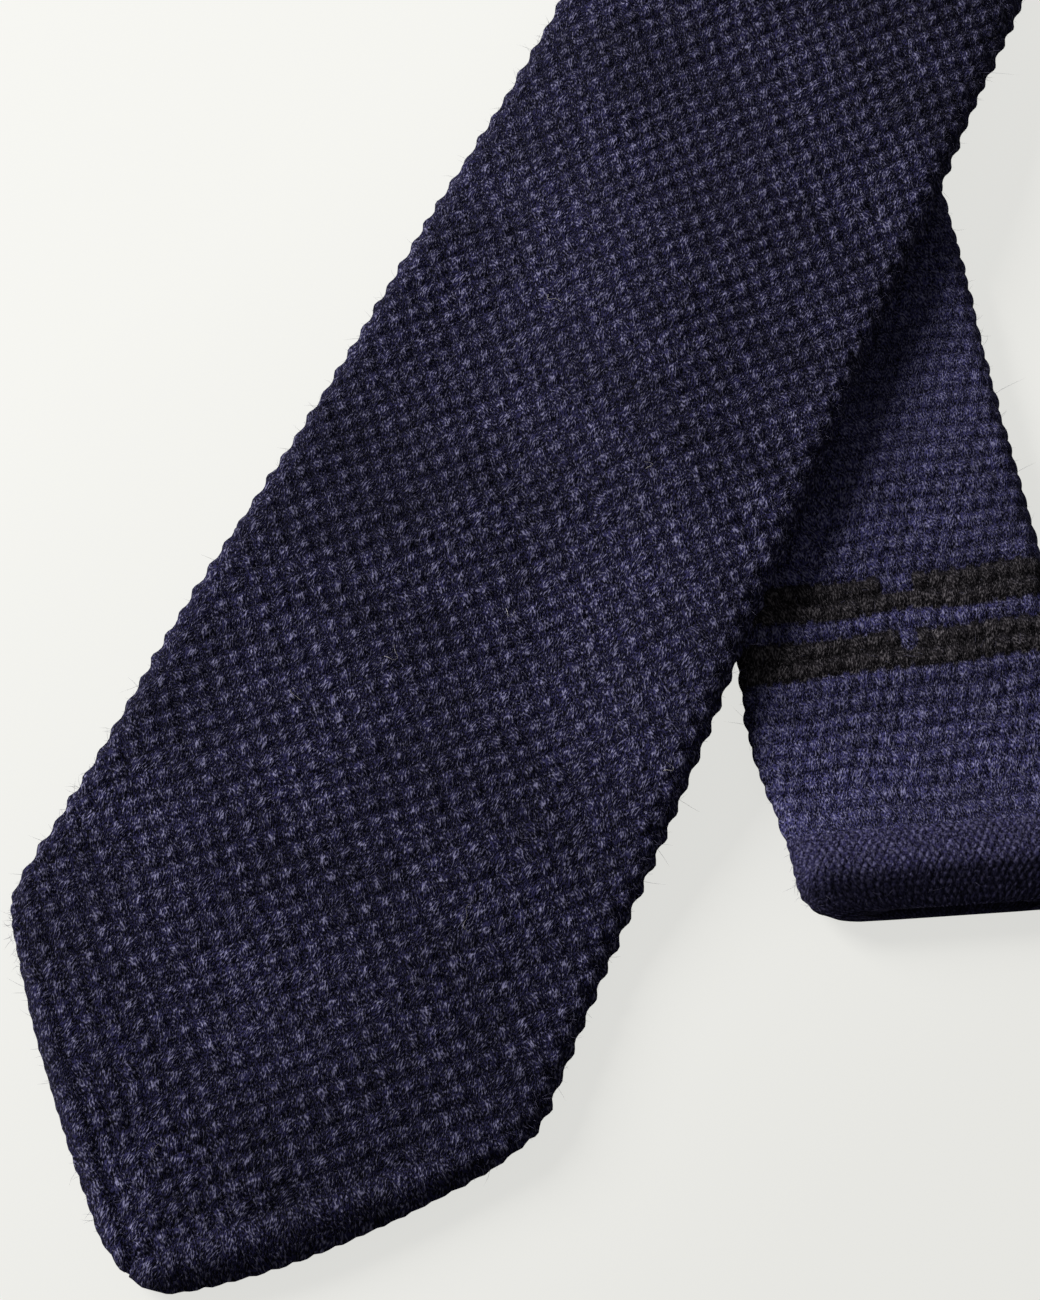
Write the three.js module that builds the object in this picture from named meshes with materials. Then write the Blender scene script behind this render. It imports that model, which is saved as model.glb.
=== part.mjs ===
import * as THREE from "three";

// A knitted necktie laid flat on a table: one long flattened tube of thick knitting with a pointed front
// blade, a narrow neck and a square, open tail. The tie makes one plain loop, and the front blade crosses
// over the tail. Lengths are millimetres and angles are degrees; +Y runs along the middle of the loop.

// Lengths along the middle of the tie
const TIE_LENGTH = 1450;
const BLADE_DROP = 193; // point of the front blade to the crossing
const TAIL_DROP = 130; // crossing to the square end of the tail
const BLADE_PAST_CROSSING = 128; // front blade beyond the crossing, until it lies on the table again
const BLADE_TAPER = 600; // stretch over which the front blade narrows to the neck
const TAIL_TAPER = 420; // stretch over which the neck widens to the tail
const TAIL_BLADE_LENGTH = 162;
const UPPER_BAND = 4.8;
const BAND_SPACING = 2.6;
const LOWER_BAND = 5.8;
const TAIL_END_LENGTH = 20.8;
const HEM_LENGTH = 10;

// Widths
const BLADE_WIDTH = 70; // at the corners of the point
const NECK_WIDTH = 31;
const TAIL_WIDTH = 41;
const HEM_WIDTH = 37.5;
const HEM_DRAW_IN = 17; // stretch over which the tail is drawn in to its hem

// The two knitted walls and the flat space between them
const WALL = 2;
const SLIT = 0.6;
const HEM_WALL = 3;
const HEM_SLIT = 1;
const HEM_THICKENING = 12; // stretch over which the walls grow into the hem
const MOUTH_ROUNDING = 1.2; // radius of each wall's edge at the open mouth

// Corners of the outline
const POINT_ANGLE = 90.9;
const POINT_RADIUS = 3.5;
const BLADE_CORNER_RADIUS = 8;
const TAIL_CORNER_RADIUS = 4;

// How it lies
const CROSSING_ANGLE = 32.4;
const DRAPE_CLEARANCE = 0.3; // between the tail and the blade over it
const DRAPE_RUN = 28; // how far beside the tail the blade comes down to the table
const PIECE_GAP = 0.3;

const NAVY_YARN = new THREE.MeshStandardMaterial({ color: 0x2a2840, roughness: 0.95, metalness: 0 });
const NAVY_TAIL_YARN = new THREE.MeshStandardMaterial({ color: 0x323050, roughness: 0.95, metalness: 0 });
const BLACK_YARN = new THREE.MeshStandardMaterial({ color: 0x1c1a1e, roughness: 0.95, metalness: 0 });

// Outline of the point: two straight edges that meet at POINT_ANGLE, with a round nose and round corners.
const HALF_POINT = THREE.MathUtils.degToRad(POINT_ANGLE) / 2;
const CORNER_AT = BLADE_WIDTH / 2 / Math.tan(HALF_POINT);
const SIDE_ANGLE = Math.atan((BLADE_WIDTH - NECK_WIDTH) / 2 / BLADE_TAPER);
const NOSE_CENTRE = POINT_RADIUS / Math.sin(HALF_POINT);
const NOSE = NOSE_CENTRE - POINT_RADIUS;
const NOSE_END = NOSE_CENTRE - POINT_RADIUS * Math.sin(HALF_POINT);
const CORNER_CUT = BLADE_CORNER_RADIUS * Math.tan((HALF_POINT + SIDE_ANGLE) / 2);
const CORNER_START = CORNER_AT - CORNER_CUT * Math.cos(HALF_POINT);
const CORNER_END = CORNER_AT + CORNER_CUT * Math.cos(SIDE_ANGLE);
const CORNER_CENTRE = CORNER_START + BLADE_CORNER_RADIUS * Math.sin(HALF_POINT);
const CORNER_CENTRE_OUT = CORNER_START * Math.tan(HALF_POINT) - BLADE_CORNER_RADIUS * Math.cos(HALF_POINT);

// Where each piece ends, from the point of the front blade
const BLADE_END = BLADE_DROP + BLADE_PAST_CROSSING;
const TAPER_END = CORNER_AT + BLADE_TAPER;
const HEM_START = TIE_LENGTH - HEM_LENGTH;
const LOWER_BAND_END = HEM_START - TAIL_END_LENGTH;
const SPACING_END = LOWER_BAND_END - LOWER_BAND;
const UPPER_BAND_END = SPACING_END - BAND_SPACING;
const TAIL_BLADE_END = UPPER_BAND_END - UPPER_BAND;
const TAIL_BLADE_START = TAIL_BLADE_END - TAIL_BLADE_LENGTH;
const NECK_END = HEM_START - TAIL_TAPER;

// The pieces from the point to the tail, with the spacing of their sections and how many spans their faces
// have across. The front blade has many, because it bends over the tail.
const PIECES = [
  { name: "wide_blade", from: NOSE, to: BLADE_END, yarn: NAVY_YARN, step: 10, spans: 9 },
  { name: "blade_taper", from: BLADE_END, to: TAPER_END, yarn: NAVY_YARN, step: 17, spans: 1 },
  { name: "neck_band", from: TAPER_END, to: NECK_END, yarn: NAVY_YARN, step: 13, spans: 1 },
  { name: "tail_taper", from: NECK_END, to: TAIL_BLADE_START, yarn: NAVY_YARN, step: 25, spans: 1 },
  { name: "tail_blade", from: TAIL_BLADE_START, to: TAIL_BLADE_END, yarn: NAVY_TAIL_YARN, step: 25, spans: 1 },
  { name: "tail_band_upper", from: TAIL_BLADE_END, to: UPPER_BAND_END, yarn: BLACK_YARN, step: 5, spans: 1 },
  { name: "tail_band_between", from: UPPER_BAND_END, to: SPACING_END, yarn: NAVY_TAIL_YARN, step: 5, spans: 1 },
  { name: "tail_band_lower", from: SPACING_END, to: LOWER_BAND_END, yarn: BLACK_YARN, step: 6, spans: 1 },
  { name: "tail_end", from: LOWER_BAND_END, to: HEM_START, yarn: NAVY_TAIL_YARN, step: 4, spans: 1 },
  { name: "tail_hem", from: HEM_START, to: TIE_LENGTH, yarn: NAVY_TAIL_YARN, step: 2.5, spans: 1 },
];

// The loop past the crossing: a straight leg on each side, and a bend between them whose curvature rises
// smoothly from nothing, stays even round the far end and falls to nothing again.
const LEAN = THREE.MathUtils.degToRad(CROSSING_ANGLE) / 2;
const BEND_TURN = Math.PI + 2 * LEAN;
const BEND_SAMPLES = 600;

// Heading in the bend, clockwise from +Y, at a share of the bend's length.
function bendHeading(share) {
  const turned = (share - ((2 * share - 1) ** 5 + 1) / 10) / 0.8;
  return LEAN - BEND_TURN * turned;
}

// Points of a bend of length 1, from its start.
function bendPoints() {
  const points = [new THREE.Vector2(0, 0)];
  for (let i = 0; i < BEND_SAMPLES; i += 1) {
    const heading = bendHeading((i + 0.5) / BEND_SAMPLES);
    const stride = new THREE.Vector2(Math.sin(heading), Math.cos(heading)).divideScalar(BEND_SAMPLES);
    points.push(points[i].clone().add(stride));
  }
  return points;
}

const BEND = bendPoints();
const LOOP_LENGTH = TIE_LENGTH - BLADE_DROP - TAIL_DROP;
const BEND_LENGTH = LOOP_LENGTH / (1 + Math.abs(BEND[BEND_SAMPLES].x) / Math.sin(LEAN));
const LEG_LENGTH = (LOOP_LENGTH - BEND_LENGTH) / 2;
const BEND_START = BLADE_DROP + LEG_LENGTH;

// Place and heading of the middle line at a distance from the point, with the crossing at the origin.
function middleAt(distance) {
  const share = (distance - BEND_START) / BEND_LENGTH;
  if (share <= 0) {
    const beyond = distance - BLADE_DROP;
    return { x: beyond * Math.sin(LEAN), y: beyond * Math.cos(LEAN), heading: LEAN };
  }
  if (share >= 1) {
    const above = TIE_LENGTH - TAIL_DROP - distance;
    return { x: -above * Math.sin(LEAN), y: above * Math.cos(LEAN), heading: LEAN - BEND_TURN };
  }
  const index = Math.min(Math.floor(share * BEND_SAMPLES), BEND_SAMPLES - 1);
  const local = BEND[index].clone().lerp(BEND[index + 1], share * BEND_SAMPLES - index);
  return {
    x: LEG_LENGTH * Math.sin(LEAN) + local.x * BEND_LENGTH,
    y: LEG_LENGTH * Math.cos(LEAN) + local.y * BEND_LENGTH,
    heading: bendHeading(share),
  };
}

// How far a value has come from one end of a range to the other, kept between 0 and 1.
function shareOf(value, start, end) {
  return THREE.MathUtils.clamp((value - start) / (end - start), 0, 1);
}

// Half of the width lost near the square end: the draw-in to the hem and the round corners.
function tailNarrowing(fromEnd) {
  const straight = THREE.MathUtils.smoothstep(fromEnd, HEM_LENGTH, HEM_LENGTH + HEM_DRAW_IN);
  const drawnIn = (TAIL_WIDTH - HEM_WIDTH) / 2 * (1 - straight);
  const intoCorner = Math.max(TAIL_CORNER_RADIUS - fromEnd, 0);
  return drawnIn + TAIL_CORNER_RADIUS - Math.sqrt(TAIL_CORNER_RADIUS ** 2 - intoCorner ** 2);
}

// Half of the tie's width at a distance from the point.
function halfWidth(distance) {
  if (distance < NOSE_END) {
    return Math.sqrt(Math.max(POINT_RADIUS ** 2 - (distance - NOSE_CENTRE) ** 2, 0));
  }
  if (distance < CORNER_START) return distance * Math.tan(HALF_POINT);
  if (distance < CORNER_END) {
    return CORNER_CENTRE_OUT + Math.sqrt(BLADE_CORNER_RADIUS ** 2 - (distance - CORNER_CENTRE) ** 2);
  }
  const fromEnd = TIE_LENGTH - distance;
  const full = HEM_LENGTH + HEM_DRAW_IN;
  const blade = (BLADE_WIDTH - NECK_WIDTH) / 2 * (1 - shareOf(distance, CORNER_AT, TAPER_END));
  const tail = (TAIL_WIDTH - NECK_WIDTH) / 2 * (1 - shareOf(fromEnd, full, full + TAIL_TAPER));
  return NECK_WIDTH / 2 + blade + tail - tailNarrowing(fromEnd);
}

// How much a slanted edge shortens what is measured straight across: less than 1 along the point.
function edgeSlant(distance) {
  const straight = shareOf(distance, CORNER_START, CORNER_END);
  return THREE.MathUtils.lerp(Math.cos(HALF_POINT), 1, straight);
}

// Share of the way from the plain knitting, 0, to the thick hem, 1.
function hemShare(distance) {
  const fromEnd = TIE_LENGTH - distance;
  return 1 - THREE.MathUtils.smoothstep(fromEnd, HEM_LENGTH / 2, HEM_LENGTH / 2 + HEM_THICKENING);
}

// How far each face of a wall falls back where the wall is rounded over at the open mouth.
function mouthRounding(distance) {
  const into = Math.max(MOUTH_ROUNDING - (TIE_LENGTH - distance), 0);
  return MOUTH_ROUNDING - Math.sqrt(MOUTH_ROUNDING ** 2 - into ** 2);
}

// Height of the front blade's underside: it lies on the tail where they cross and on the table elsewhere.
function bladeLift(x, y) {
  const across = Math.abs(x * Math.cos(LEAN) + y * Math.sin(LEAN));
  const along = y * Math.cos(LEAN) - x * Math.sin(LEAN);
  const beside = across - halfWidth(Math.min(TIE_LENGTH - TAIL_DROP - along, TIE_LENGTH));
  const down = THREE.MathUtils.smoothstep(beside, DRAPE_CLEARANCE, DRAPE_RUN);
  return (2 * WALL + SLIT + DRAPE_CLEARANCE) * (1 - down);
}

const EDGE_STEPS = 4; // straight steps round each side edge
const LEAST_FLAT = 0.3; // share of a narrow section that stays flat between its round edges

// Outline of a section, counter-clockwise, as places of width and height: round side edges, and two flat
// faces with the given number of spans.
function outerSection(distance, spans) {
  const middle = THREE.MathUtils.lerp(WALL + SLIT / 2, HEM_WALL + HEM_SLIT / 2, hemShare(distance));
  const toRound = Math.max(middle - (distance - NOSE), 0);
  const half = Math.sqrt(middle ** 2 - toRound ** 2) - mouthRounding(distance);
  const width = halfWidth(distance);
  const edge = Math.min(middle / edgeSlant(distance), width * (1 - LEAST_FLAT));
  const places = [];
  for (const side of [1, -1]) {
    for (let i = 0; i <= EDGE_STEPS; i += 1) {
      const angle = Math.PI * (i / EDGE_STEPS - 0.5);
      const out = width - edge + edge * Math.cos(angle);
      places.push(new THREE.Vector2(side * out, middle + side * half * Math.sin(angle)));
    }
    for (let i = 1; i < spans; i += 1) {
      places.push(new THREE.Vector2(side * (width - edge) * (1 - 2 * i / spans), middle + side * half));
    }
  }
  return places;
}

// Outline of the flat space between the walls, counter-clockwise, with pointed sides.
function innerSection(distance, spans) {
  const wall = THREE.MathUtils.lerp(WALL, HEM_WALL, hemShare(distance));
  const slit = THREE.MathUtils.lerp(SLIT, HEM_SLIT, hemShare(distance));
  const width = halfWidth(distance) - (wall + slit) / edgeSlant(distance);
  const flat = Math.max(width - slit, width * LEAST_FLAT);
  const middle = wall + slit / 2;
  const half = slit / 2 + mouthRounding(distance);
  const places = [];
  for (const side of [1, -1]) {
    places.push(new THREE.Vector2(side * width, middle));
    for (let i = 0; i <= spans; i += 1) {
      places.push(new THREE.Vector2(side * flat * (1 - 2 * i / spans), middle + side * half));
    }
  }
  return places;
}

// Collects the triangles of one closed body of the tie.
class Body {
  constructor(draped) {
    this.draped = draped;
    this.positions = [];
    this.triangles = [];
  }

  // Adds a point at a distance along the tie, at a place across and up, and returns its number.
  point(distance, place) {
    const middle = middleAt(distance);
    const x = middle.x + place.x * Math.cos(middle.heading);
    const y = middle.y - place.x * Math.sin(middle.heading);
    this.positions.push(x, y, place.y + (this.draped ? bladeLift(x, y) : 0));
    return this.positions.length / 3 - 1;
  }

  // Joins sections along the tie into a tube whose faces point out, or in for the space inside it.
  tube(distances, sectionAt, facesIn) {
    const rings = distances.map((distance) => sectionAt(distance).map((place) => this.point(distance, place)));
    for (let r = 1; r < rings.length; r += 1) {
      rings[r].forEach((corner, i) => {
        const next = (i + 1) % rings[r].length;
        const [a, b, c] = [rings[r - 1][i], rings[r - 1][next], rings[r][next]];
        this.triangles.push(...(facesIn ? [a, b, c, a, c, corner] : [a, c, b, a, corner, c]));
      });
    }
    return rings;
  }

  // Closes a tube's first ring with a fan round a point in front of it.
  nose(ring, distance, height, facesIn) {
    const apex = this.point(distance, new THREE.Vector2(0, height));
    ring.forEach((corner, i) => {
      const next = ring[(i + 1) % ring.length];
      this.triangles.push(...(facesIn ? [corner, apex, next] : [corner, next, apex]));
    });
  }

  // Closes the tie's cut end between its outer ring and its inner ring.
  cutEnd(outerPlaces, outerRing, innerPlaces, innerRing, facesForward) {
    const places = [...outerPlaces, ...innerPlaces];
    const ring = [...outerRing, ...innerRing];
    for (const [a, b, c] of THREE.ShapeUtils.triangulateShape(outerPlaces, [innerPlaces])) {
      const clockwise = THREE.ShapeUtils.isClockWise([places[a], places[b], places[c]]);
      this.triangles.push(...(clockwise === facesForward ? [ring[a], ring[b], ring[c]] : [ring[a], ring[c], ring[b]]));
    }
  }

  geometry() {
    const geometry = new THREE.BufferGeometry();
    geometry.setAttribute("position", new THREE.Float32BufferAttribute(this.positions, 3));
    geometry.setIndex(this.triangles);
    geometry.computeVertexNormals();
    return geometry;
  }
}

// Distances where the outline or the thickness turns: round parts have a section at each of these shares.
const ROUND_SHARES = [0.06, 0.234, 0.5, 1];
const TURNS = [
  ...ROUND_SHARES.map((share) => NOSE + share * (WALL + SLIT / 2)),
  CORNER_START, (CORNER_START + CORNER_AT) / 2, CORNER_AT, (CORNER_AT + CORNER_END) / 2, CORNER_END,
  ...ROUND_SHARES.map((share) => TIE_LENGTH - share * TAIL_CORNER_RADIUS),
  ...ROUND_SHARES.map((share) => TIE_LENGTH - share * MOUTH_ROUNDING),
];

// Distances of a piece's sections: its ends, each turn between them, and even steps in between.
function sectionDistances(from, to, step) {
  const stops = [from, ...TURNS.filter((turn) => turn > from && turn < to).sort((a, b) => a - b), to];
  const distances = [from];
  for (let i = 1; i < stops.length; i += 1) {
    const steps = Math.ceil((stops[i] - stops[i - 1]) / step);
    for (let j = 1; j <= steps; j += 1) {
      distances.push(THREE.MathUtils.lerp(stops[i - 1], stops[i], j / steps));
    }
  }
  return distances;
}

// The pointed blade is closed at its nose, and the space in it starts where there is room between its walls.
const SPACE_START = (SLIT + (WALL + SLIT) / Math.cos(HALF_POINT)) / Math.tan(HALF_POINT);

function pieceGeometry({ from, to, step, spans }) {
  const pointed = from === NOSE;
  const body = new Body(pointed);
  const start = pointed ? from : from + PIECE_GAP / 2;
  const end = to === TIE_LENGTH ? to : to - PIECE_GAP / 2;
  const outerAt = (distance) => outerSection(distance, spans);
  const innerAt = (distance) => innerSection(distance, spans);
  const distances = sectionDistances(start, end, step);
  if (pointed) distances.shift();
  const outer = body.tube(distances, outerAt, false);
  const inner = body.tube(sectionDistances(pointed ? SPACE_START : start, end, step), innerAt, true);
  if (pointed) {
    body.nose(outer[0], NOSE, WALL + SLIT / 2, false);
    body.nose(inner[0], SPACE_START - SLIT, WALL + SLIT / 2, true);
  } else {
    body.cutEnd(outerAt(start), outer[0], innerAt(start), inner[0], false);
  }
  body.cutEnd(outerAt(end), outer.at(-1), innerAt(end), inner.at(-1), true);
  return body.geometry();
}

const tie = new THREE.Group();
for (const piece of PIECES) {
  const mesh = new THREE.Mesh(pieceGeometry(piece), piece.yarn);
  mesh.name = piece.name;
  tie.add(mesh);
}

// The origin is under the middle of the whole tie, on the table.
const middle = new THREE.Box3().setFromObject(tie).getCenter(new THREE.Vector3());
tie.position.set(-middle.x, -middle.y, 0);

export default tie;
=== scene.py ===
"""A knitted wool necktie that lies in one loop on a pale table, dressed stitch by stitch round its solids.

The tie is one long flattened tube of navy wool in a raised chequered stitch: a pointed front blade, a narrow
neck and a square-ended tail with two black bands. Each stretch of it is a closed knitted shell that stands
for the solid of the same name. Its smooth skin is a function of two parameters, the distance along the tie
and the turn round its section, and the stitches are pressed into that skin.

Lengths in the classes are millimetres, as a knitter gives them. Meshes are in metres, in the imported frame.
"""

import logging
import math
from dataclasses import dataclass, field
from enum import Enum

import bpy
import numpy as np
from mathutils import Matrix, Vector


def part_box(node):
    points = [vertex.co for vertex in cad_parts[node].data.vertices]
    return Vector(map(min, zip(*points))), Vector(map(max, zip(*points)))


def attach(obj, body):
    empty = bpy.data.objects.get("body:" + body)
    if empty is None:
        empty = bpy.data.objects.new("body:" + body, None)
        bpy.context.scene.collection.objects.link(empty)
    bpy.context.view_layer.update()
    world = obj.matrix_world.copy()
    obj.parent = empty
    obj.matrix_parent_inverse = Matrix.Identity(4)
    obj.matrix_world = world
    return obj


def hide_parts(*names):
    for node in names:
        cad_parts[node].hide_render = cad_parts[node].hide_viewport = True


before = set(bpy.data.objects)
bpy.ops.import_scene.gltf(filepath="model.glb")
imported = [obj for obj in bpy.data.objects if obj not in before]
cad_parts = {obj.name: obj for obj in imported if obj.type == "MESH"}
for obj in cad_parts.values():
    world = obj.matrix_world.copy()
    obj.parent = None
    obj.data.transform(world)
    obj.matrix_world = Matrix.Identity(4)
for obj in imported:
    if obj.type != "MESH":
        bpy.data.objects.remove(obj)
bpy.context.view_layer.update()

MM = 0.001
EDGE_TURN = 10.0  # cells from the middle of a face to the side edge; a whole section is 40 cells round
CHANCES = (127, 131)  # after how many stitches along each diagonal the seeded unevenness starts again

Tree = bpy.types.NodeTree
Socket = bpy.types.NodeSocket

log = logging.getLogger("knit_tie")


def smoothstep(value: np.ndarray, start: float, end: float) -> np.ndarray:
    """Rises smoothly from 0 at start to 1 at end: 3 x squared less 2 x cubed, for the share x of the way.

    Args:
        value: Where to work it out.
        start: Where the rise begins.
        end: Where the rise ends.

    Returns:
        The risen share, between 0 and 1.
    """
    share = np.clip((value - start) / (end - start), 0.0, 1.0)
    return share * share * (3.0 - 2.0 * share)


@dataclass(frozen=True)
class TieSizes:
    """Driving sizes of the tie, in millimetres and degrees.

    They are the same as those of its solids, up to the last group, which is finer than the solids show.
    """

    length: float = 1450.0
    blade_drop: float = 193.0  # point of the front blade to the crossing
    tail_drop: float = 130.0  # crossing to the square end
    blade_past_crossing: float = 128.0
    blade_taper: float = 600.0
    tail_taper: float = 420.0
    tail_blade: float = 162.0
    upper_band: float = 4.8
    band_spacing: float = 2.6
    lower_band: float = 5.8
    tail_end: float = 20.8
    hem: float = 10.0
    blade_width: float = 70.0
    neck_width: float = 31.0
    tail_width: float = 41.0
    hem_width: float = 37.5
    hem_draw_in: float = 17.0
    wall: float = 2.0
    slit: float = 0.6
    hem_wall: float = 3.0
    hem_slit: float = 1.0
    hem_thickening: float = 12.0
    point_angle: float = 90.9
    crossing_angle: float = 32.4
    drape_clearance: float = 0.3
    drape_run: float = 28.0

    point_radius: float = 8.0
    blade_corner: float = 12.0
    edge_loops: float = 0.27  # how far the edge stitches stand out of the solid's outline, in cells
    left_slant_loops: float = 0.1  # share of that along the left slanted edge of the point, which is drawn in
    slant_share: float = 0.75  # share of the way to the corner's end that is all slant
    point_bulge: float = 2.4  # how far the right slanted edge of the point bows out, up to the distance below
    bulge_end: float = 33.0
    side_blend: float = 5.0  # over how far either side of the middle the two slanted edges' forms meet
    tail_corner: float = 5.0
    tail_skew: float = 0.06  # slant of the square end, in millimetres along to one across
    skew_run: float = 30.0
    under_lip: float = 0.9  # how far the under layer shows past the upper one at the mouth
    lip_run: float = 14.0
    roll_run: float = 4.6  # the hem's edge rolls over: from where, and how far down its outer face comes
    roll_drop: float = 2.9
    mouth_run: float = 1.5  # and the same for the faces that look into the slit
    mouth_drop: float = 0.05


class MiddleLine:
    """The tie's middle seen from above: two straight legs that cross, and a round bend between them."""

    BEND_SAMPLES = 600

    def __init__(self, sizes: TieSizes) -> None:
        """Works out the bend, whose curvature rises smoothly, stays even and falls again.

        Args:
            sizes: The tie's driving sizes.
        """
        self.sizes = sizes
        self.lean = math.radians(sizes.crossing_angle) / 2
        self.turn = math.pi + 2 * self.lean
        heading = self.bend_heading((np.arange(self.BEND_SAMPLES) + 0.5) / self.BEND_SAMPLES)
        strides = np.stack([np.sin(heading), np.cos(heading)], axis=1) / self.BEND_SAMPLES
        bend = np.vstack([np.zeros((1, 2)), np.cumsum(strides, axis=0)])
        loop = sizes.length - sizes.blade_drop - sizes.tail_drop
        self.bend_length = loop / (1 + abs(bend[-1, 0]) / math.sin(self.lean))
        self.leg = (loop - self.bend_length) / 2
        self.bend = bend * self.bend_length
        self.bend_start = sizes.blade_drop + self.leg

    def bend_heading(self, share: np.ndarray) -> np.ndarray:
        """Heading in the bend, clockwise from +Y: the lean less the turn times an ease of the share."""
        turned = (share - ((2 * share - 1) ** 5 + 1) / 10) / 0.8
        return self.lean - self.turn * turned

    def at(self, distance: np.ndarray) -> tuple[np.ndarray, np.ndarray, np.ndarray]:
        """Place and heading at a distance from the point, with the crossing at the origin.

        Args:
            distance: Distances along the tie.

        Returns:
            Arrays of x, y and heading.
        """
        lean = self.lean
        share = (distance - self.bend_start) / self.bend_length
        beyond = distance - self.sizes.blade_drop
        above = self.sizes.length - self.sizes.tail_drop - distance
        samples = np.linspace(0.0, 1.0, self.BEND_SAMPLES + 1)
        bend_x = self.leg * math.sin(lean) + np.interp(share, samples, self.bend[:, 0])
        bend_y = self.leg * math.cos(lean) + np.interp(share, samples, self.bend[:, 1])
        stretches = [share <= 0.0, share >= 1.0]
        x = np.select(stretches, [beyond * math.sin(lean), -above * math.sin(lean)], bend_x)
        y = np.select(stretches, [beyond * math.cos(lean), above * math.cos(lean)], bend_y)
        heading = np.select(stretches, [lean, lean - self.turn], self.bend_heading(share))
        return x, y, heading


class Outline:
    """Widths and thickness of the flattened tube at each distance from the point."""

    LEAST_FLAT = 0.3  # share of a narrow section that stays flat between its round edges

    def __init__(self, sizes: TieSizes) -> None:
        """Works out where the point's nose and corners lie.

        Args:
            sizes: The tie's driving sizes.
        """
        self.sizes = sizes
        half = math.radians(sizes.point_angle) / 2
        self.half_point = half
        self.corner_at = sizes.blade_width / 2 / math.tan(half)
        side = math.atan((sizes.blade_width - sizes.neck_width) / 2 / sizes.blade_taper)
        self.nose_centre = sizes.point_radius / math.sin(half)
        self.nose = self.nose_centre - sizes.point_radius
        self.nose_end = self.nose_centre - sizes.point_radius * math.sin(half)
        cut = sizes.blade_corner * math.tan((half + side) / 2)
        self.corner_start = self.corner_at - cut * math.cos(half)
        self.corner_end = self.corner_at + cut * math.cos(side)
        self.corner_centre = self.corner_start + sizes.blade_corner * math.sin(half)
        self.corner_out = self.corner_start * math.tan(half) - sizes.blade_corner * math.cos(half)
        self.taper_end = self.corner_at + sizes.blade_taper

    def long_half_width(self, distance: np.ndarray) -> np.ndarray:
        """Half width without the point: the neck's, plus what each taper adds, less the hem's loss."""
        size = self.sizes
        from_end = size.length - distance
        full = size.hem + size.hem_draw_in
        blade_share = 1 - np.clip((distance - self.corner_at) / size.blade_taper, 0.0, 1.0)
        tail_share = 1 - np.clip((from_end - full) / size.tail_taper, 0.0, 1.0)
        blade = (size.blade_width - size.neck_width) / 2 * blade_share
        tail = (size.tail_width - size.neck_width) / 2 * tail_share
        drawn_in = (size.tail_width - size.hem_width) / 2 * (1 - smoothstep(from_end, size.hem, full))
        into = np.clip(size.tail_corner - from_end, 0.0, size.tail_corner)
        corner = size.tail_corner - np.sqrt(size.tail_corner**2 - into**2)
        return size.neck_width / 2 + blade + tail - drawn_in - corner

    def half_width(self, distance: np.ndarray) -> np.ndarray:
        """Half width with the point: the nose's arc, a straight slant, the corner's arc, the taper."""
        size = self.sizes
        nose = np.sqrt(np.clip(size.point_radius**2 - (distance - self.nose_centre) ** 2, 0.0, None))
        slant = distance * math.tan(self.half_point)
        rounded = np.clip(size.blade_corner**2 - (distance - self.corner_centre) ** 2, 0.0, None)
        corner = self.corner_out + np.sqrt(rounded)
        stretches = [distance < self.nose_end, distance < self.corner_start, distance < self.corner_end]
        return np.select(stretches, [nose, slant, corner], self.long_half_width(distance))

    def hem_share(self, distance: np.ndarray) -> np.ndarray:
        """Share of the way from the plain knitting, 0, to the thick hem, 1."""
        size = self.sizes
        return 1 - smoothstep(size.length - distance, size.hem / 2, size.hem / 2 + size.hem_thickening)

    def rounding(self, distance: np.ndarray, run: float, drop: float) -> np.ndarray:
        """How far a face falls back before the open mouth: the way into the run to the power of 1.35."""
        return drop * np.clip(1 - (self.sizes.length - distance) / run, 0.0, 1.0) ** 1.35

    def outer(self, distance: np.ndarray, width: np.ndarray) -> tuple[np.ndarray, ...]:
        """Measures of the outer section, whose side edges are quarter ellipses.

        Args:
            distance: Distances along the tie.
            width: Half widths there.

        Returns:
            The flat half width, the edge's depth, half the height, the middle height and the edge's length.
        """
        size = self.sizes
        plain = size.wall + size.slit / 2
        middle = plain + (size.hem_wall + size.hem_slit / 2 - plain) * self.hem_share(distance)
        to_round = np.clip(middle - (distance - self.nose), 0.0, middle)
        height = np.sqrt(middle**2 - to_round**2) - self.rounding(distance, size.roll_run, size.roll_drop)
        straight = np.clip((distance - self.corner_start) / (self.corner_end - self.corner_start), 0.0, 1.0)
        slant = math.cos(self.half_point) * (1 - straight) + straight
        edge = np.minimum(middle / slant, width * (1 - self.LEAST_FLAT))
        arc = math.pi / 2 * np.sqrt((edge**2 + height**2) / 2)
        return width - edge, edge, height, middle, arc

    def inner(self, distance: np.ndarray) -> tuple[np.ndarray, ...]:
        """Measures of the flat space between the walls, whose sides are pointed.

        Args:
            distance: Distances along the tie.

        Returns:
            Its half width, the run of its pointed side, half its height and its middle height.
        """
        size = self.sizes
        share = self.hem_share(distance)
        wall = size.wall + (size.hem_wall - size.wall) * share
        slit = size.slit + (size.hem_slit - size.slit) * share
        straight = np.clip((distance - self.corner_start) / (self.corner_end - self.corner_start), 0.0, 1.0)
        slant = math.cos(self.half_point) * (1 - straight) + straight
        width = np.clip(self.half_width(distance) - (wall + slit) / slant, slit, None)
        opened = self.rounding(distance, size.mouth_run, size.mouth_drop)
        return width, slit, slit / 2 + opened, wall + slit / 2


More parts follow.
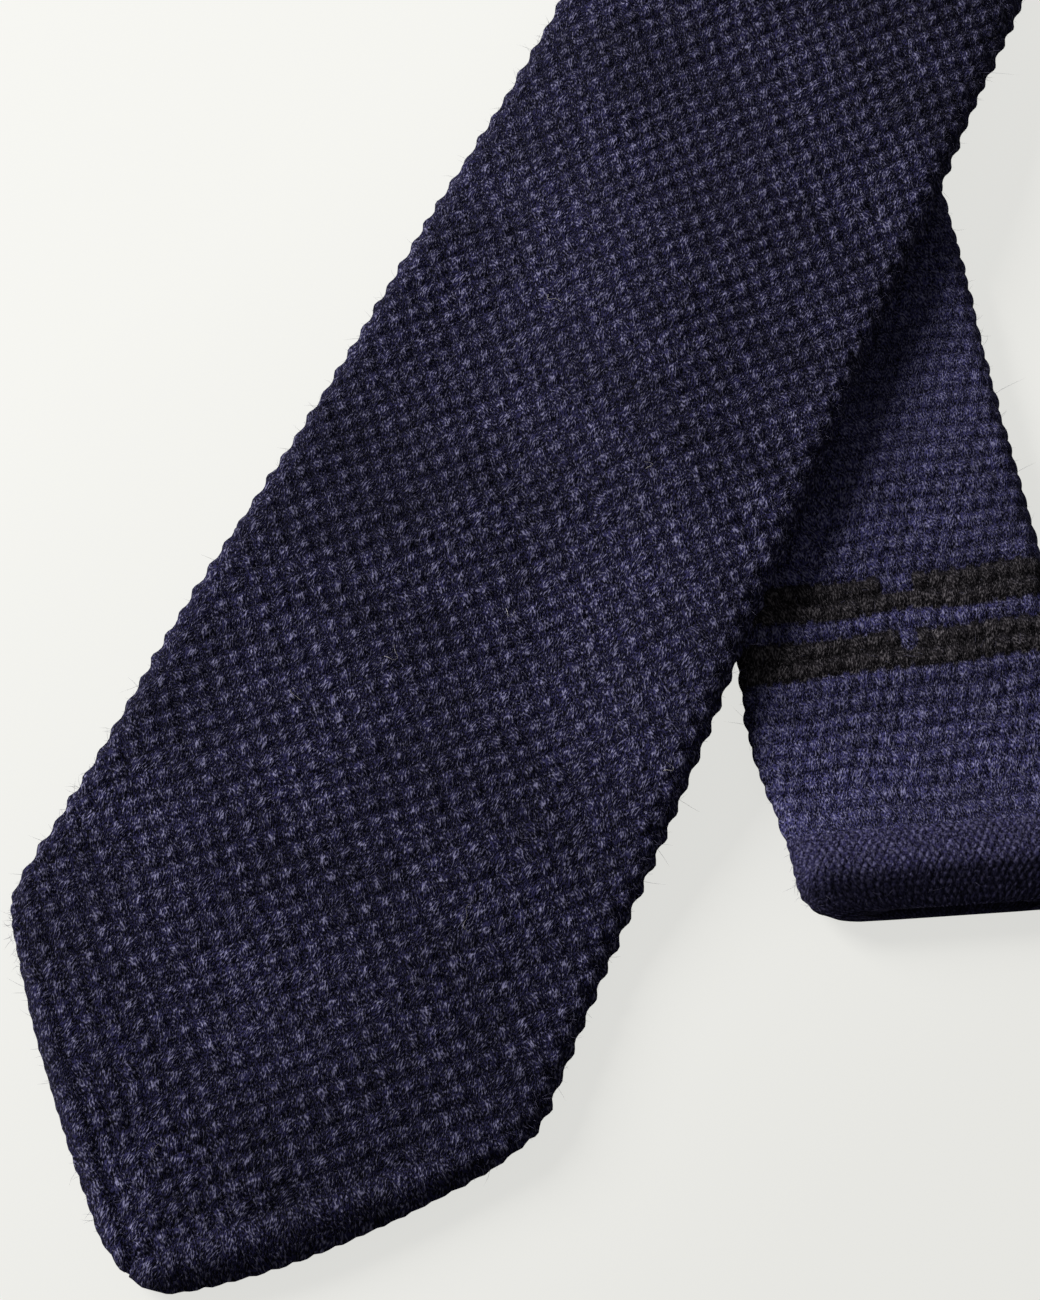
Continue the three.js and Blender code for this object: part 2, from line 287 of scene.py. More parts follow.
class Waves:
    """Smooth seeded unevenness: a sum of cosine waves that run in random directions."""

    COUNT = 12

    def __init__(self, seed: int, wavelength: float) -> None:
        """Draws the waves.

        Args:
            seed: Seed of the draw.
            wavelength: Their usual length, in millimetres.
        """
        rng = np.random.default_rng(seed)
        angle = rng.uniform(0.0, 2 * math.pi, self.COUNT)
        number = 2 * math.pi / (wavelength * rng.uniform(0.7, 1.5, self.COUNT))
        self.across = number * np.cos(angle)
        self.along = number * np.sin(angle)
        self.phase = rng.uniform(0.0, 2 * math.pi, self.COUNT)

    def at(self, across: np.ndarray, along: np.ndarray) -> np.ndarray:
        """Height of the sum at places across and along, with a typical size of 1."""
        total = np.zeros(np.broadcast(across, along).shape)
        for k_across, k_along, phase in zip(self.across, self.along, self.phase):
            total += np.cos(k_across * across + k_along * along + phase)
        return total * math.sqrt(2 / self.COUNT)


ROW_STRETCH = 2.4  # length of the tail's cells to their width
NOISE_SPAN = (0.3, 0.7)  # most of what a smooth noise gives


def nearest_in_row(places: np.ndarray) -> tuple[np.ndarray, np.ndarray]:
    """The nearest stitch on the tail, as the crow flies, of those on whole and on half places.

    Args:
        places: Places in the chequer along its two diagonals.

    Returns:
        The stitch's middle, in cells across and rows, and how far it is, in cell widths.
    """
    first, second = places[..., 0], places[..., 1]
    flat = np.stack([first + second, first - second], axis=-1) / 2
    middles = (np.rint(flat), np.floor(flat) + 0.5)
    away = [np.linalg.norm((flat - middle) * (1.0, ROW_STRETCH), axis=-1) for middle in middles]
    nearer = (away[1] < away[0])[..., None]
    return np.where(nearer, middles[1], middles[0]), np.minimum(*away)


@dataclass
class StitchLattice:
    """The raised stitches: a chequer of bumps, 20 cells across each face, in rows of half a cell."""

    outline: Outline
    cell_area: float = 12.6  # what a cell keeps as the tie narrows, in square millimetres
    longest_cell: float = 5.28
    relief: float = 0.68  # depth of the pits between full bumps
    hem_relief: float = 0.2
    hem_row: float = 1.7  # two rows of the hem's fine stitches
    hem_blend: float = 1.2
    full_relief_cell: float = 3.6  # width of the cells that have the full relief; narrower ones have less
    relief_power: float = 0.4
    flat_top: float = 1.2  # the sag fades out on the underside before this share of a half face
    sag_fade: float = 0.2
    sharpness: tuple[float, float] = (1.5, 0.9)  # powers of the bump along its two diagonals
    row_bumps: tuple[float, float] = (1150.0, 1240.0)  # where the bumps draw in to one row each
    row_reach: float = 0.74  # how far such a bump reaches, in cell widths
    row_power: float = 0.9
    unevenness: float = 0.4  # share of a bump's height that varies
    wander: float = 0.035  # how far the lattice wanders, in cells
    sag: float = 0.22  # slow ups and downs of the lying cloth
    bands_end_row: float = 0.44  # where in a row the black ends
    rim: tuple[float, float] = (2.0, 3.4)  # where the flatter rim along the slant ends, inside its edge
    rim_fade: tuple[float, float] = (6.0, 2.0)  # and fades out along it: before and after the corner's start
    rim_flattening: float = 0.5
    crease: float = 0.3  # depth of the crease along it on the right, and half of that on the left
    seed: int = 41
    jitter: np.ndarray = field(init=False)

    def __post_init__(self) -> None:
        """Draws the stitches' unevenness and adds up the rows from the bands, which start on a whole row."""
        size = self.outline.sizes
        rng = np.random.default_rng(self.seed)
        self.jitter = rng.random(CHANCES)
        self.wander_across = Waves(self.seed + 1, 17.0)
        self.wander_along = Waves(self.seed + 2, 13.0)
        self.slow = Waves(self.seed + 3, 46.0)
        self.table = np.linspace(0.0, size.length, 5801)
        cell = self.cell_width(self.table)
        row = np.minimum(self.cell_area / cell, self.longest_cell)
        middles = 2 / (row[1:] + row[:-1])
        rows = np.concatenate([[0.0], np.cumsum(middles * np.diff(self.table))])
        bands_end = size.length - size.hem - size.tail_end
        self.rows = rows - np.interp(bands_end, self.table, rows) + self.bands_end_row

    def cell_width(self, distance: np.ndarray) -> np.ndarray:
        """Width of a cell: a tenth of the way from the middle of a face to its side edge, the point aside."""
        flat, _, _, _, arc = self.outline.outer(distance, self.outline.long_half_width(distance))
        return (flat + arc) / EDGE_TURN

    def across_cells(self, distance: np.ndarray, turn: np.ndarray) -> np.ndarray:
        """Cells from the middle of the face, which the slanted edges of the point cut off unsqueezed."""
        flat, _, _, _, arc = self.outline.outer(distance, self.outline.half_width(distance))
        return turn * (flat + arc) / EDGE_TURN / self.cell_width(distance)

    def stitch_map(self, distance: np.ndarray, turn: np.ndarray, fine: bool) -> np.ndarray:
        """Place in the chequer along its two diagonals; every pair of whole numbers is one bump.

        Args:
            distance: Distances along the tie.
            turn: Turns round the section.
            fine: Whether the hem's fine stitches are meant.

        Returns:
            Cells across plus rows, and cells across less rows, on the last axis.
        """
        across = self.across_cells(distance, turn)
        millimetres = across * self.cell_width(distance)
        rows = np.interp(distance, self.table, self.rows)
        if fine:
            hem_start = self.outline.sizes.length - self.outline.sizes.hem
            rows = (distance - hem_start) / self.hem_row
            across = 2 * across
        across = across + self.wander * self.wander_across.at(millimetres, distance)
        rows = rows + self.wander * self.wander_along.at(millimetres, distance)
        return np.stack([across + rows, across - rows], axis=-1)

    def across(self, distance: np.ndarray, turn: np.ndarray) -> np.ndarray:
        """Millimetres from the middle of the face, over the edge."""
        return self.across_cells(distance, turn) * self.cell_width(distance)

    def bump(self, places: np.ndarray) -> np.ndarray:
        """Height of the stitches: a cosine of each diagonal to its power, lower by a seeded share each.

        Args:
            places: Places in the chequer, from stitch_map.

        Returns:
            Heights from 0 in a pit to 1 on the highest stitch.
        """
        whole = np.rint(places).astype(int)
        rest = places - whole
        jitter = self.jitter[whole[..., 0] % CHANCES[0], whole[..., 1] % CHANCES[1]]
        ridge = np.cos(math.pi * rest[..., 0]) ** self.sharpness[0]
        ridge = ridge * np.cos(math.pi * rest[..., 1]) ** self.sharpness[1]
        return ridge * (1 - self.unevenness * jitter)

    def row_bump(self, places: np.ndarray) -> np.ndarray:
        """Height of the stitches where each keeps to one row: a quarter cosine of how far its middle is.

        Args:
            places: Places in the chequer, from stitch_map.

        Returns:
            Heights from 0 in a pit to 1 on the highest stitch.
        """
        middle, away = nearest_in_row(places)
        number = np.rint(np.stack([middle.sum(axis=-1), middle[..., 0] - middle[..., 1]])).astype(int)
        jitter = self.jitter[number[0] % CHANCES[0], number[1] % CHANCES[1]]
        ridge = np.cos(math.pi / 2 * np.clip(away / self.row_reach, 0.0, 1.0)) ** self.row_power
        return ridge * (1 - self.unevenness * jitter)

    def depth(self, distance: np.ndarray, turn: np.ndarray) -> np.ndarray:
        """How far the stitched skin lies below the smooth one.

        The chequer blends into the hem's fine stitches. Along the slanted edges of the point the bumps are
        flatter, and a crease runs inside that rim.

        Args:
            distance: Distances along the tie.
            turn: Turns round the section.

        Returns:
            Depths in millimetres.
        """
        size = self.outline.sizes
        hem_start = size.length - size.hem
        fine = smoothstep(distance, hem_start - self.hem_blend, hem_start + self.hem_blend)
        slimness = (self.cell_width(distance) / self.full_relief_cell) ** self.relief_power
        places = self.stitch_map(distance, turn, False)
        in_rows = smoothstep(distance, *self.row_bumps)
        bumps = self.bump(places) * (1 - in_rows) + self.row_bump(places) * in_rows
        coarse = self.relief * slimness * (1 - bumps)
        tight = self.hem_relief * (1 - self.bump(self.stitch_map(distance, turn, True)))
        millimetres = self.across(distance, turn)
        rim, crease = self.point_rim(distance, millimetres)
        top = np.clip(self.flat_top - np.abs(turn) / EDGE_TURN, 0.0, self.sag_fade) / self.sag_fade
        sag = self.sag * top * self.slow.at(millimetres, distance) * (1 - fine)
        return (coarse * (1 - self.rim_flattening * rim) * (1 - fine) + tight * fine) + (crease + sag) * top

    def point_rim(self, distance: np.ndarray, across: np.ndarray) -> tuple[np.ndarray, np.ndarray]:
        """Rim and crease along the slanted edges, by how far inside the slant a place lies.

        Args:
            distance: Distances along the tie.
            across: Millimetres across.

        Returns:
            The rim's share, and the crease's depth in millimetres, deeper on the right.
        """
        half = self.outline.half_point
        inside = distance * math.sin(half) - np.abs(across) * math.cos(half)
        before, after = self.rim_fade
        start = self.outline.corner_start
        by_corner = 1 - smoothstep(distance, start - before, start + after)
        rim = (1 - smoothstep(inside, *self.rim)) * by_corner
        side = 0.75 + 0.25 * np.sign(across)
        crease = self.crease * side * np.exp(-((inside - self.rim[1]) ** 2)) * by_corner
        return rim, crease


class Yarn(Enum):
    """The yarns that the tie is knitted from, named as the record's slots are."""

    NAVY = "navy_wool"
    BLACK = "black_wool"


@dataclass(frozen=True)
class Bands:
    """The two black bands, counted in half rows up from the end of the lower one, and the step in them.

    The tube is knitted round and round, so where the yarn changes, a half row steps up at one needle.
    """

    black: tuple[int, ...] = (0, 1, 3, 4)
    black_at_step: tuple[int, ...] = (0, 3)
    step_at: float = -0.55  # cells from the middle of the face
    step_width: float = 1.2  # cells where the rows change over

    def is_black(self, places: np.ndarray) -> np.ndarray:
        """Which places lie on a black stitch.

        Args:
            places: Places in the chequer.

        Returns:
            True where the nearest stitch is black.
        """
        middle, _ = nearest_in_row(places)
        half_row = np.rint(-2 * middle[..., 1]).astype(int)
        stepped = np.abs(middle[..., 0] - self.step_at) < self.step_width / 2
        return np.where(stepped, np.isin(half_row, self.black_at_step), np.isin(half_row, self.black))


@dataclass(frozen=True)
class Stretch:
    """One stretch of the tie, with its yarn and how closely its skin is sampled."""

    node: str
    start: float
    end: float
    yarn: Yarn
    pitches: tuple[tuple[float, float], ...]  # up to which distance, and the spacing of rows
    columns: tuple[int, int]  # columns to a cell on the top and on the underside
    inner_pitch: float = 11.0
    fine_stitches: bool = False

    def turns(self) -> np.ndarray:
        """Turns of the columns, from the middle of the underside round to it again."""
        top, under = self.columns
        right = np.arange(0.0, EDGE_TURN, 1 / under) + EDGE_TURN
        left = np.arange(0.0, EDGE_TURN, 1 / under) - 2 * EDGE_TURN
        return np.concatenate([left, np.arange(-EDGE_TURN, EDGE_TURN, 1 / top), right])

    def rows(self, nose: float, middle: float) -> np.ndarray:
        """Distances of the rows; round the nose they follow a circle, so that it is evenly round.

        Args:
            nose: Where the front blade starts.
            middle: Half the tie's thickness there.

        Returns:
            Rising distances.
        """
        rows = []
        start = self.start
        if start == nose:
            angles = np.linspace(0.12, math.pi / 2, 11)
            rows.append(nose + middle * (1 - np.cos(angles)))
            start = float(rows[0][-1])
        for until, pitch in self.pitches:
            count = max(int(math.ceil((until - start) / pitch)), 1)
            spaced = np.linspace(start, until, count + 1)
            rows.append(spaced[1:] if rows else spaced)
            start = until
        return np.concatenate(rows)


class Knitting:
    """Collects one closed shell: its points, its faces and their two maps."""

    def __init__(self) -> None:
        """Starts an empty shell."""
        self.points: list[np.ndarray] = []
        self.stray: list[np.ndarray] = []
        self.faces: list[np.ndarray] = []
        self.stitch: list[np.ndarray] = []
        self.yarn: list[np.ndarray] = []
        self.ends: list[np.ndarray] = []
        self.count = 0

    def add_points(self, points: np.ndarray, stray: np.ndarray, yarn: np.ndarray) -> np.ndarray:
        """Adds a grid of points and returns their numbers.

        Args:
            points: Places, with x, y and z on the last axis.
            stray: Share of the other yarn at each.
            yarn: Millimetres across and along the tie at each.

        Returns:
            Numbers of the points, in the grid's shape.
        """
        shape = points.shape[:-1]
        numbers = self.count + np.arange(int(np.prod(shape))).reshape(shape)
        self.points.append(points.reshape(-1, 3))
        self.stray.append(np.broadcast_to(stray, shape).reshape(-1))
        self.yarn.append(yarn.reshape(-1, 2))
        self.count += numbers.size
        return numbers

    def add_faces(self, corners: np.ndarray, stitch: np.ndarray) -> None:
        """Adds faces with the chequer map of their corners.

        Args:
            corners: Point numbers, a row for each face.
            stitch: Places in the chequer for each corner.
        """
        self.faces.append(corners)
        self.stitch.append(stitch.reshape(-1, 2))

    def mesh_object(self, name: str) -> bpy.types.Object:
        """Makes the mesh and its object.

        Args:
            name: Name of the object and the mesh.

        Returns:
            The new object, linked to the scene.
        """
        mesh = bpy.data.meshes.new(name)
        mesh.vertices.add(self.count)
        mesh.vertices.foreach_set("co", (np.concatenate(self.points) * MM).ravel())
        loops = np.concatenate([faces.ravel() for faces in self.faces])
        corners = np.concatenate([np.full(len(faces), faces.shape[1]) for faces in self.faces])
        mesh.loops.add(len(loops))
        mesh.loops.foreach_set("vertex_index", loops)
        mesh.polygons.add(len(corners))
        mesh.polygons.foreach_set("loop_start", np.cumsum(corners) - corners)
        mesh.update(calc_edges=True)
        mesh.shade_smooth()
        maps = {"stitch": np.concatenate(self.stitch), "yarn": np.concatenate(self.yarn)[loops]}
        for title, places in maps.items():
            mesh.uv_layers.new(name=title).data.foreach_set("uv", places.ravel())
        stray = mesh.attributes.new("stray", "FLOAT", "POINT")
        stray.data.foreach_set("value", np.concatenate(self.stray))
        if self.ends:
            on_end = np.zeros(self.count, dtype=bool)
            on_end[np.concatenate(self.ends)] = True
            edges = np.empty(len(mesh.edges) * 2, dtype=np.int32)
            mesh.edges.foreach_get("vertices", edges)
            sharp = mesh.attributes.new("sharp_edge", "BOOLEAN", "EDGE")
            sharp.data.foreach_set("value", on_end[edges.reshape(-1, 2)].all(axis=1))
        mesh.validate()
        made = bpy.data.objects.new(name, mesh)
        bpy.context.scene.collection.objects.link(made)
        return made


def ring_quads(grid: np.ndarray, inward: bool) -> np.ndarray:
    """Quads of a grid whose columns close into a ring.

    Args:
        grid: A number or map for each place of the grid, closed by a repeated first column.
        inward: Whether the faces look into the tube.

    Returns:
        The four corners of each quad, a row each.
    """
    corners = [grid[:-1, :-1], grid[:-1, 1:], grid[1:, 1:], grid[1:, :-1]]
    if inward:
        corners.reverse()
    tail = grid.shape[2:]
    return np.stack([corner.reshape((-1,) + tail) for corner in corners], axis=1)


@dataclass
class KnittedTie:
    """The whole tie: makes a knitted shell for each stretch of the flattened tube."""

    sizes: TieSizes = field(default_factory=TieSizes)
    photo_reach: float = 222.0  # the front blade is finely sampled up to here
    tail_photo_reach: float = 1338.0  # and the tail from here
    tail_wool_from: float = 1188.0  # from here a stretch is of the tail's wool, and may have stray stitches
    fine_row: float = 0.6
    tail_row: float = 0.44
    plain_row: float = 1.35
    step: float = 0.02

    def __post_init__(self) -> None:
        """Works out the form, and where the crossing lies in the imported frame."""
        self.line = MiddleLine(self.sizes)
        self.outline = Outline(self.sizes)
        self.lattice = StitchLattice(self.outline)
        self.bands = Bands()
        low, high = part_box("tail_band_between")
        size = self.sizes
        between = size.length - size.hem - size.tail_end - size.lower_band - size.band_spacing / 2
        x, y, _ = self.line.at(np.array(between))
        self.crossing = (np.array(low) + np.array(high))[:2] / 2 / MM - np.array([float(x), float(y)])

    def stretches(self) -> list[Stretch]:
        """The ten stretches, from the point to the square end."""
        size = self.sizes
        hem_start = size.length - size.hem
        bands_end = hem_start - size.tail_end
        between_end = bands_end - size.lower_band
        upper_end = between_end - size.band_spacing
        tail_blade_end = upper_end - size.upper_band
        tail_start = tail_blade_end - size.tail_blade
        neck_end = hem_start - size.tail_taper
        neck_start = self.outline.taper_end
        blade_end = size.blade_drop + size.blade_past_crossing
        fine, plain = (8, 2), (4, 2)
        navy, black = Yarn.NAVY, Yarn.BLACK
        row, tail_row, far_row = self.fine_row, self.tail_row, self.plain_row
        blade_rows = ((self.photo_reach, row), (blade_end, far_row))
        tail_rows = ((self.tail_photo_reach, far_row), (tail_blade_end, tail_row))
        return [
            Stretch("wide_blade", self.outline.nose, blade_end, navy, blade_rows, fine),
            Stretch("blade_taper", blade_end, neck_start, navy, ((neck_start, far_row),), plain),
            Stretch("neck_band", neck_start, neck_end, navy, ((neck_end, far_row),), plain),
            Stretch("tail_taper", neck_end, tail_start, navy, ((tail_start, far_row),), plain),
            Stretch("tail_blade", tail_start, tail_blade_end, navy, tail_rows, fine),
            Stretch("tail_band_upper", tail_blade_end, upper_end, black, ((upper_end, tail_row),), fine),
            Stretch("tail_band_between", upper_end, between_end, navy, ((between_end, tail_row),), fine),
            Stretch("tail_band_lower", between_end, bands_end, black, ((bands_end, tail_row),), fine),
            Stretch("tail_end", bands_end, hem_start, navy, ((hem_start, tail_row),), fine, 2.0),
            Stretch("tail_hem", hem_start, size.length, navy, self.hem_rows(), fine, 0.4, True),
        ]

    def hem_rows(self) -> tuple[tuple[float, float], ...]:
        """Row spacings of the hem, closer where it rolls over into the mouth."""
        length = self.sizes.length
        return ((length - self.sizes.mouth_run, 0.22), (length - 0.25, 0.12), (length, 0.04))

    def lift(self, x: np.ndarray, y: np.ndarray) -> np.ndarray:
        """Height of the front blade's underside: the tail's thickness over it, easing down to the table."""
        size = self.sizes
        lean = self.line.lean
        across = np.abs(x * math.cos(lean) + y * math.sin(lean))
        along = y * math.cos(lean) - x * math.sin(lean)
        below = np.minimum(size.length - size.tail_drop - along, size.length)
        beside = across - self.outline.half_width(below)
        raised = 2 * size.wall + size.slit + size.drape_clearance
        return raised * (1 - smoothstep(beside, size.drape_clearance, size.drape_run))

    def place(self, distance: np.ndarray, across: np.ndarray, up: np.ndarray, draped: bool) -> np.ndarray:
        """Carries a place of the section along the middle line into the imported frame.

        Args:
            distance: Distances along the tie.
            across: Places to the right of the middle line.
            up: Heights in the section.
            draped: Whether the stretch lies over the tail.

        Returns:
            Points in millimetres.
        """
        size = self.sizes
        slanted = size.tail_skew * smoothstep(distance, size.length - size.skew_run, size.length)
        x, y, heading = self.line.at(distance - slanted * across)
        x = x + across * np.cos(heading)
        y = y - across * np.sin(heading)
        up = up + (self.lift(x, y) if draped else 0.0)
        return np.stack([x + self.crossing[0], y + self.crossing[1], up], axis=-1)

    def skin(self, distance: np.ndarray, turn: np.ndarray, draped: bool) -> np.ndarray:
        """The smooth outer skin: flat faces joined by side edges that are quarter ellipses.

        Args:
            distance: Distances along the tie.
            turn: Turns round the section: 0 is the middle of the top and 10 the right side edge.
            draped: Whether the stretch lies over the tail.

        Returns:
            Points in millimetres.
        """
        distance, turn = np.broadcast_arrays(distance, turn)
        flat, edge, height, middle, arc = self.outline.outer(distance, self.outline.half_width(distance))
        fold = np.abs(turn)
        run = np.minimum(fold, 2 * EDGE_TURN - fold) / EDGE_TURN * (flat + arc)
        angle = np.clip((run - flat) / np.maximum(arc, 1e-6), 0.0, 1.0) * math.pi / 2
        across = np.sign(turn) * (np.minimum(run, flat) + edge * np.sin(angle))
        up = middle + np.where(fold <= EDGE_TURN, 1.0, -1.0) * height * np.cos(angle)
        return self.place(distance + self.lip(distance, turn), across, up, draped)

    def lip(self, distance: np.ndarray, turn: np.ndarray) -> np.ndarray:
        """How far the under layer runs on past its distance near the mouth, where the hem gapes."""
        size = self.sizes
        under = smoothstep(np.abs(turn), EDGE_TURN - 2.0, EDGE_TURN + 2.0)
        return size.under_lip * under * smoothstep(distance, size.length - size.lip_run, size.length)

    def normals(self, distance: np.ndarray, turn: np.ndarray, draped: bool) -> tuple[np.ndarray, ...]:
        """Outward directions of the smooth skin: the cross product of its two tangents.

        Args:
            distance: Distances along the tie.
            turn: Turns round the section.
            draped: Whether the stretch lies over the tail.

        Returns:
            The normals, and the tangents along the turn and along the tie, all of length 1.
        """
        after = np.minimum(distance + self.step, self.sizes.length)
        before = np.maximum(distance - self.step, self.outline.nose + self.step / 4)
        along = self.skin(after, turn, draped) - self.skin(before, turn, draped)
        across = self.skin(distance, turn + self.step, draped) - self.skin(distance, turn - self.step, draped)
        vectors = [np.cross(across, along), across, along]
        return tuple(v / np.maximum(np.linalg.norm(v, axis=-1, keepdims=True), 1e-9) for v in vectors)

    def knitted(self, distance: np.ndarray, turn: np.ndarray, draped: bool) -> np.ndarray:
        """The stitched skin: the smooth one, moved along its normals.

        It is pressed in by the lattice's depth. The side edges stand out by the loops there, and the right
        slanted edge of the point also bows out by half a sine wave: both by how far the normal lies level.
        Each slanted edge's own form fades into the other's across the point.

        Args:
            distance: Distances along the tie.
            turn: Turns round the section.
            draped: Whether the stretch lies over the tail.

        Returns:
            Points in millimetres.
        """
        size = self.sizes
        normal, _, _ = self.normals(distance, turn, draped)
        loops = size.edge_loops * self.lattice.cell_width(distance) * (1 - self.outline.hem_share(distance))
        right = smoothstep(self.lattice.across(distance, turn), -size.side_blend, size.side_blend)
        corner_end = self.outline.corner_end
        slanted = 1 - smoothstep(distance, size.slant_share * corner_end, corner_end)
        loops = loops * (1 - (1 - size.left_slant_loops) * slanted * (1 - right))
        along_slant = np.clip(distance / size.bulge_end, 0.0, 1.0)
        bulge = size.point_bulge * np.sin(math.pi * along_slant) * right
        stand = (loops + bulge) * (1 - np.abs(normal[..., 2]))
        moved = stand - self.lattice.depth(distance, turn)
        return self.skin(distance, turn, draped) + normal * moved[..., None]

    def space(self, distance: np.ndarray, turn: np.ndarray, draped: bool) -> np.ndarray:
        """The flat space between the walls: full height in the middle, running out to pointed sides."""
        distance, turn = np.broadcast_arrays(distance, turn)
        width, run, height, middle = self.outline.inner(distance)
        fold = np.abs(turn)
        out = np.minimum(fold, 2 * EDGE_TURN - fold) / EDGE_TURN * width
        share = np.clip((width - out) / run, 0.0, 1.0)
        up = middle + np.where(fold <= EDGE_TURN, 1.0, -1.0) * height * share
        return self.place(distance + self.lip(distance, turn), np.sign(turn) * out, up, draped)

    def shell(self, stretch: Stretch) -> bpy.types.Object:
        """Knits one stretch: a stitched tube, the smooth tube inside it, and what closes their ends.

        Args:
            stretch: The stretch to knit.

        Returns:
            The finished object.
        """
        pointed = stretch.start == self.outline.nose
        turn = stretch.turns()[None, :]
        closed_turn = np.append(turn, [[2 * EDGE_TURN]], axis=1)
        size = self.sizes
        distance = stretch.rows(self.outline.nose, size.wall + size.slit / 2)[:, None]
        inner_start = self.space_start() if pointed else stretch.start
        inner_count = max(int(math.ceil((stretch.end - inner_start) / stretch.inner_pitch)), 1)
        inner_distance = np.linspace(inner_start, stretch.end, inner_count + 1)[:, None]
        knitting = Knitting()
        skin = self.knitted(distance, turn, pointed)
        outer = knitting.add_points(skin, self.stray(stretch, distance, turn), self.local(skin, distance))
        space = self.space(inner_distance, turn, pointed)
        inner = knitting.add_points(space, np.array(0.0), self.local(space, inner_distance))
        self.add_tube(knitting, stretch, outer, distance, closed_turn, False)
        self.add_tube(knitting, stretch, inner, inner_distance, closed_turn, True)
        if pointed:
            self.add_noses(knitting, stretch, outer, inner, closed_turn)
        else:
            self.add_end(knitting, stretch, outer[0], inner[0], stretch.start, closed_turn, False)
            knitting.ends.append(outer[0])
        self.add_end(knitting, stretch, outer[-1], inner[-1], stretch.end, closed_turn, True)
        if stretch.end < size.length:
            knitting.ends.append(outer[-1])
        return knitting.mesh_object(f"{stretch.node}_knit")

    def local(self, points: np.ndarray, distance: np.ndarray) -> np.ndarray:
        """Where points lie seen along the tie: millimetres across it, and along it, on the last axis."""
        x, y, heading = self.line.at(distance)
        right, on = points[..., 0] - self.crossing[0] - x, points[..., 1] - self.crossing[1] - y
        across = right * np.cos(heading) - on * np.sin(heading)
        along = right * np.sin(heading) + on * np.cos(heading)
        return np.stack([across, distance + along], axis=-1)

    def space_start(self) -> float:
        """Where the space inside the point starts: where there is room between its walls."""
        size = self.sizes
        half = self.outline.half_point
        return (size.slit + (size.wall + size.slit) / math.cos(half)) / math.tan(half)

    def stray(self, stretch: Stretch, distance: np.ndarray, turn: np.ndarray) -> np.ndarray:
        """Where a stretch shows the other yarn: black stitches in navy, or navy ones in black."""
        if stretch.fine_stitches or stretch.start < self.tail_wool_from:
            return np.zeros(np.broadcast(distance, turn).shape)
        black = self.bands.is_black(self.lattice.stitch_map(distance, turn, False))
        return np.where(black == (stretch.yarn is Yarn.BLACK), 0.0, 1.0)

    def add_tube(
        self,
        knitting: Knitting,
        stretch: Stretch,
        numbers: np.ndarray,
        distance: np.ndarray,
        turn: np.ndarray,
        inward: bool,
    ) -> None:
        """Adds a tube's faces with their chequer map.

        Args:
            knitting: The shell to add to.
            stretch: The stretch that is knitted.
            numbers: Point numbers of the tube's grid.
            distance: Distances of its rows.
            turn: Turns of its columns, the closing one included.
            inward: Whether the faces look into the tube.
        """
        closed = np.concatenate([numbers, numbers[:, :1]], axis=1)
        stitch = self.lattice.stitch_map(distance, turn, stretch.fine_stitches)
        knitting.add_faces(ring_quads(closed, inward), ring_quads(stitch, inward))

    def add_end(
        self,
        knitting: Knitting,
        stretch: Stretch,
        outer: np.ndarray,
        inner: np.ndarray,
        at: float,
        turn: np.ndarray,
        forward: bool,
    ) -> None:
        """Closes a cut end with a strip of faces from its outer ring to its inner ring.

        Args:
            knitting: The shell to add to.
            stretch: The stretch that is knitted.
            outer: Point numbers of the outer ring.
            inner: Point numbers of the inner ring.
            at: Distance of the end.
            turn: Turns of the ring, the closing one included.
            forward: Whether the end looks along the tie.
        """
        numbers = np.stack([np.append(inner, inner[0]), np.append(outer, outer[0])])
        distance = np.full((2, 1), at)
        stitch = self.lattice.stitch_map(distance, turn, stretch.fine_stitches)
        if forward:
            numbers, stitch = numbers[::-1], stitch[::-1]
        knitting.add_faces(ring_quads(numbers, False), ring_quads(stitch, False))

    def add_noses(
        self, knitting: Knitting, stretch: Stretch, outer: np.ndarray, inner: np.ndarray, turn: np.ndarray
    ) -> None:
        """Closes the point: a fan before the outer tube's first ring, and one before the inner tube's.

        Args:
            knitting: The shell to add to.
            stretch: The stretch that is knitted.
            outer: Point numbers of the outer tube.
            inner: Point numbers of the inner tube.
            turn: Turns of the rings, the closing one included.
        """
        middle = np.array([self.sizes.wall + self.sizes.slit / 2])
        starts = (self.outline.nose, self.space_start() - self.sizes.slit)
        for ring, start, inward in ((outer[0], starts[0], False), (inner[0], starts[1], True)):
            at = np.array([start])
            tip = self.place(at, np.zeros(1), middle, True)
            apex = knitting.add_points(tip, np.array(0.0), self.local(tip, at))[0]
            closed = np.append(ring, ring[0])
            around = [np.full(len(ring), apex), closed[1:], closed[:-1]]
            corners = np.stack(around[::-1] if inward else around, axis=1)
            distance = np.full((1, 1), start + self.step)
            stitch = self.lattice.stitch_map(distance, turn, False)[0, :-1]
            knitting.add_faces(corners, np.stack([stitch] * 3, axis=1))


def linear(colour: str) -> tuple[float, float, float, float]:
    """Turns an sRGB hex colour to linear: a straight toe, then the power 2.4.

    Args:
        colour: A hex colour such as #2a2840.

    Returns:
        Linear red, green and blue, and an alpha of 1.
    """
    channels = [int(colour[i : i + 2], 16) / 255 for i in (1, 3, 5)]
    toned = [c / 12.92 if c <= 0.04045 else ((c + 0.055) / 1.055) ** 2.4 for c in channels]
    return (*toned, 1.0)


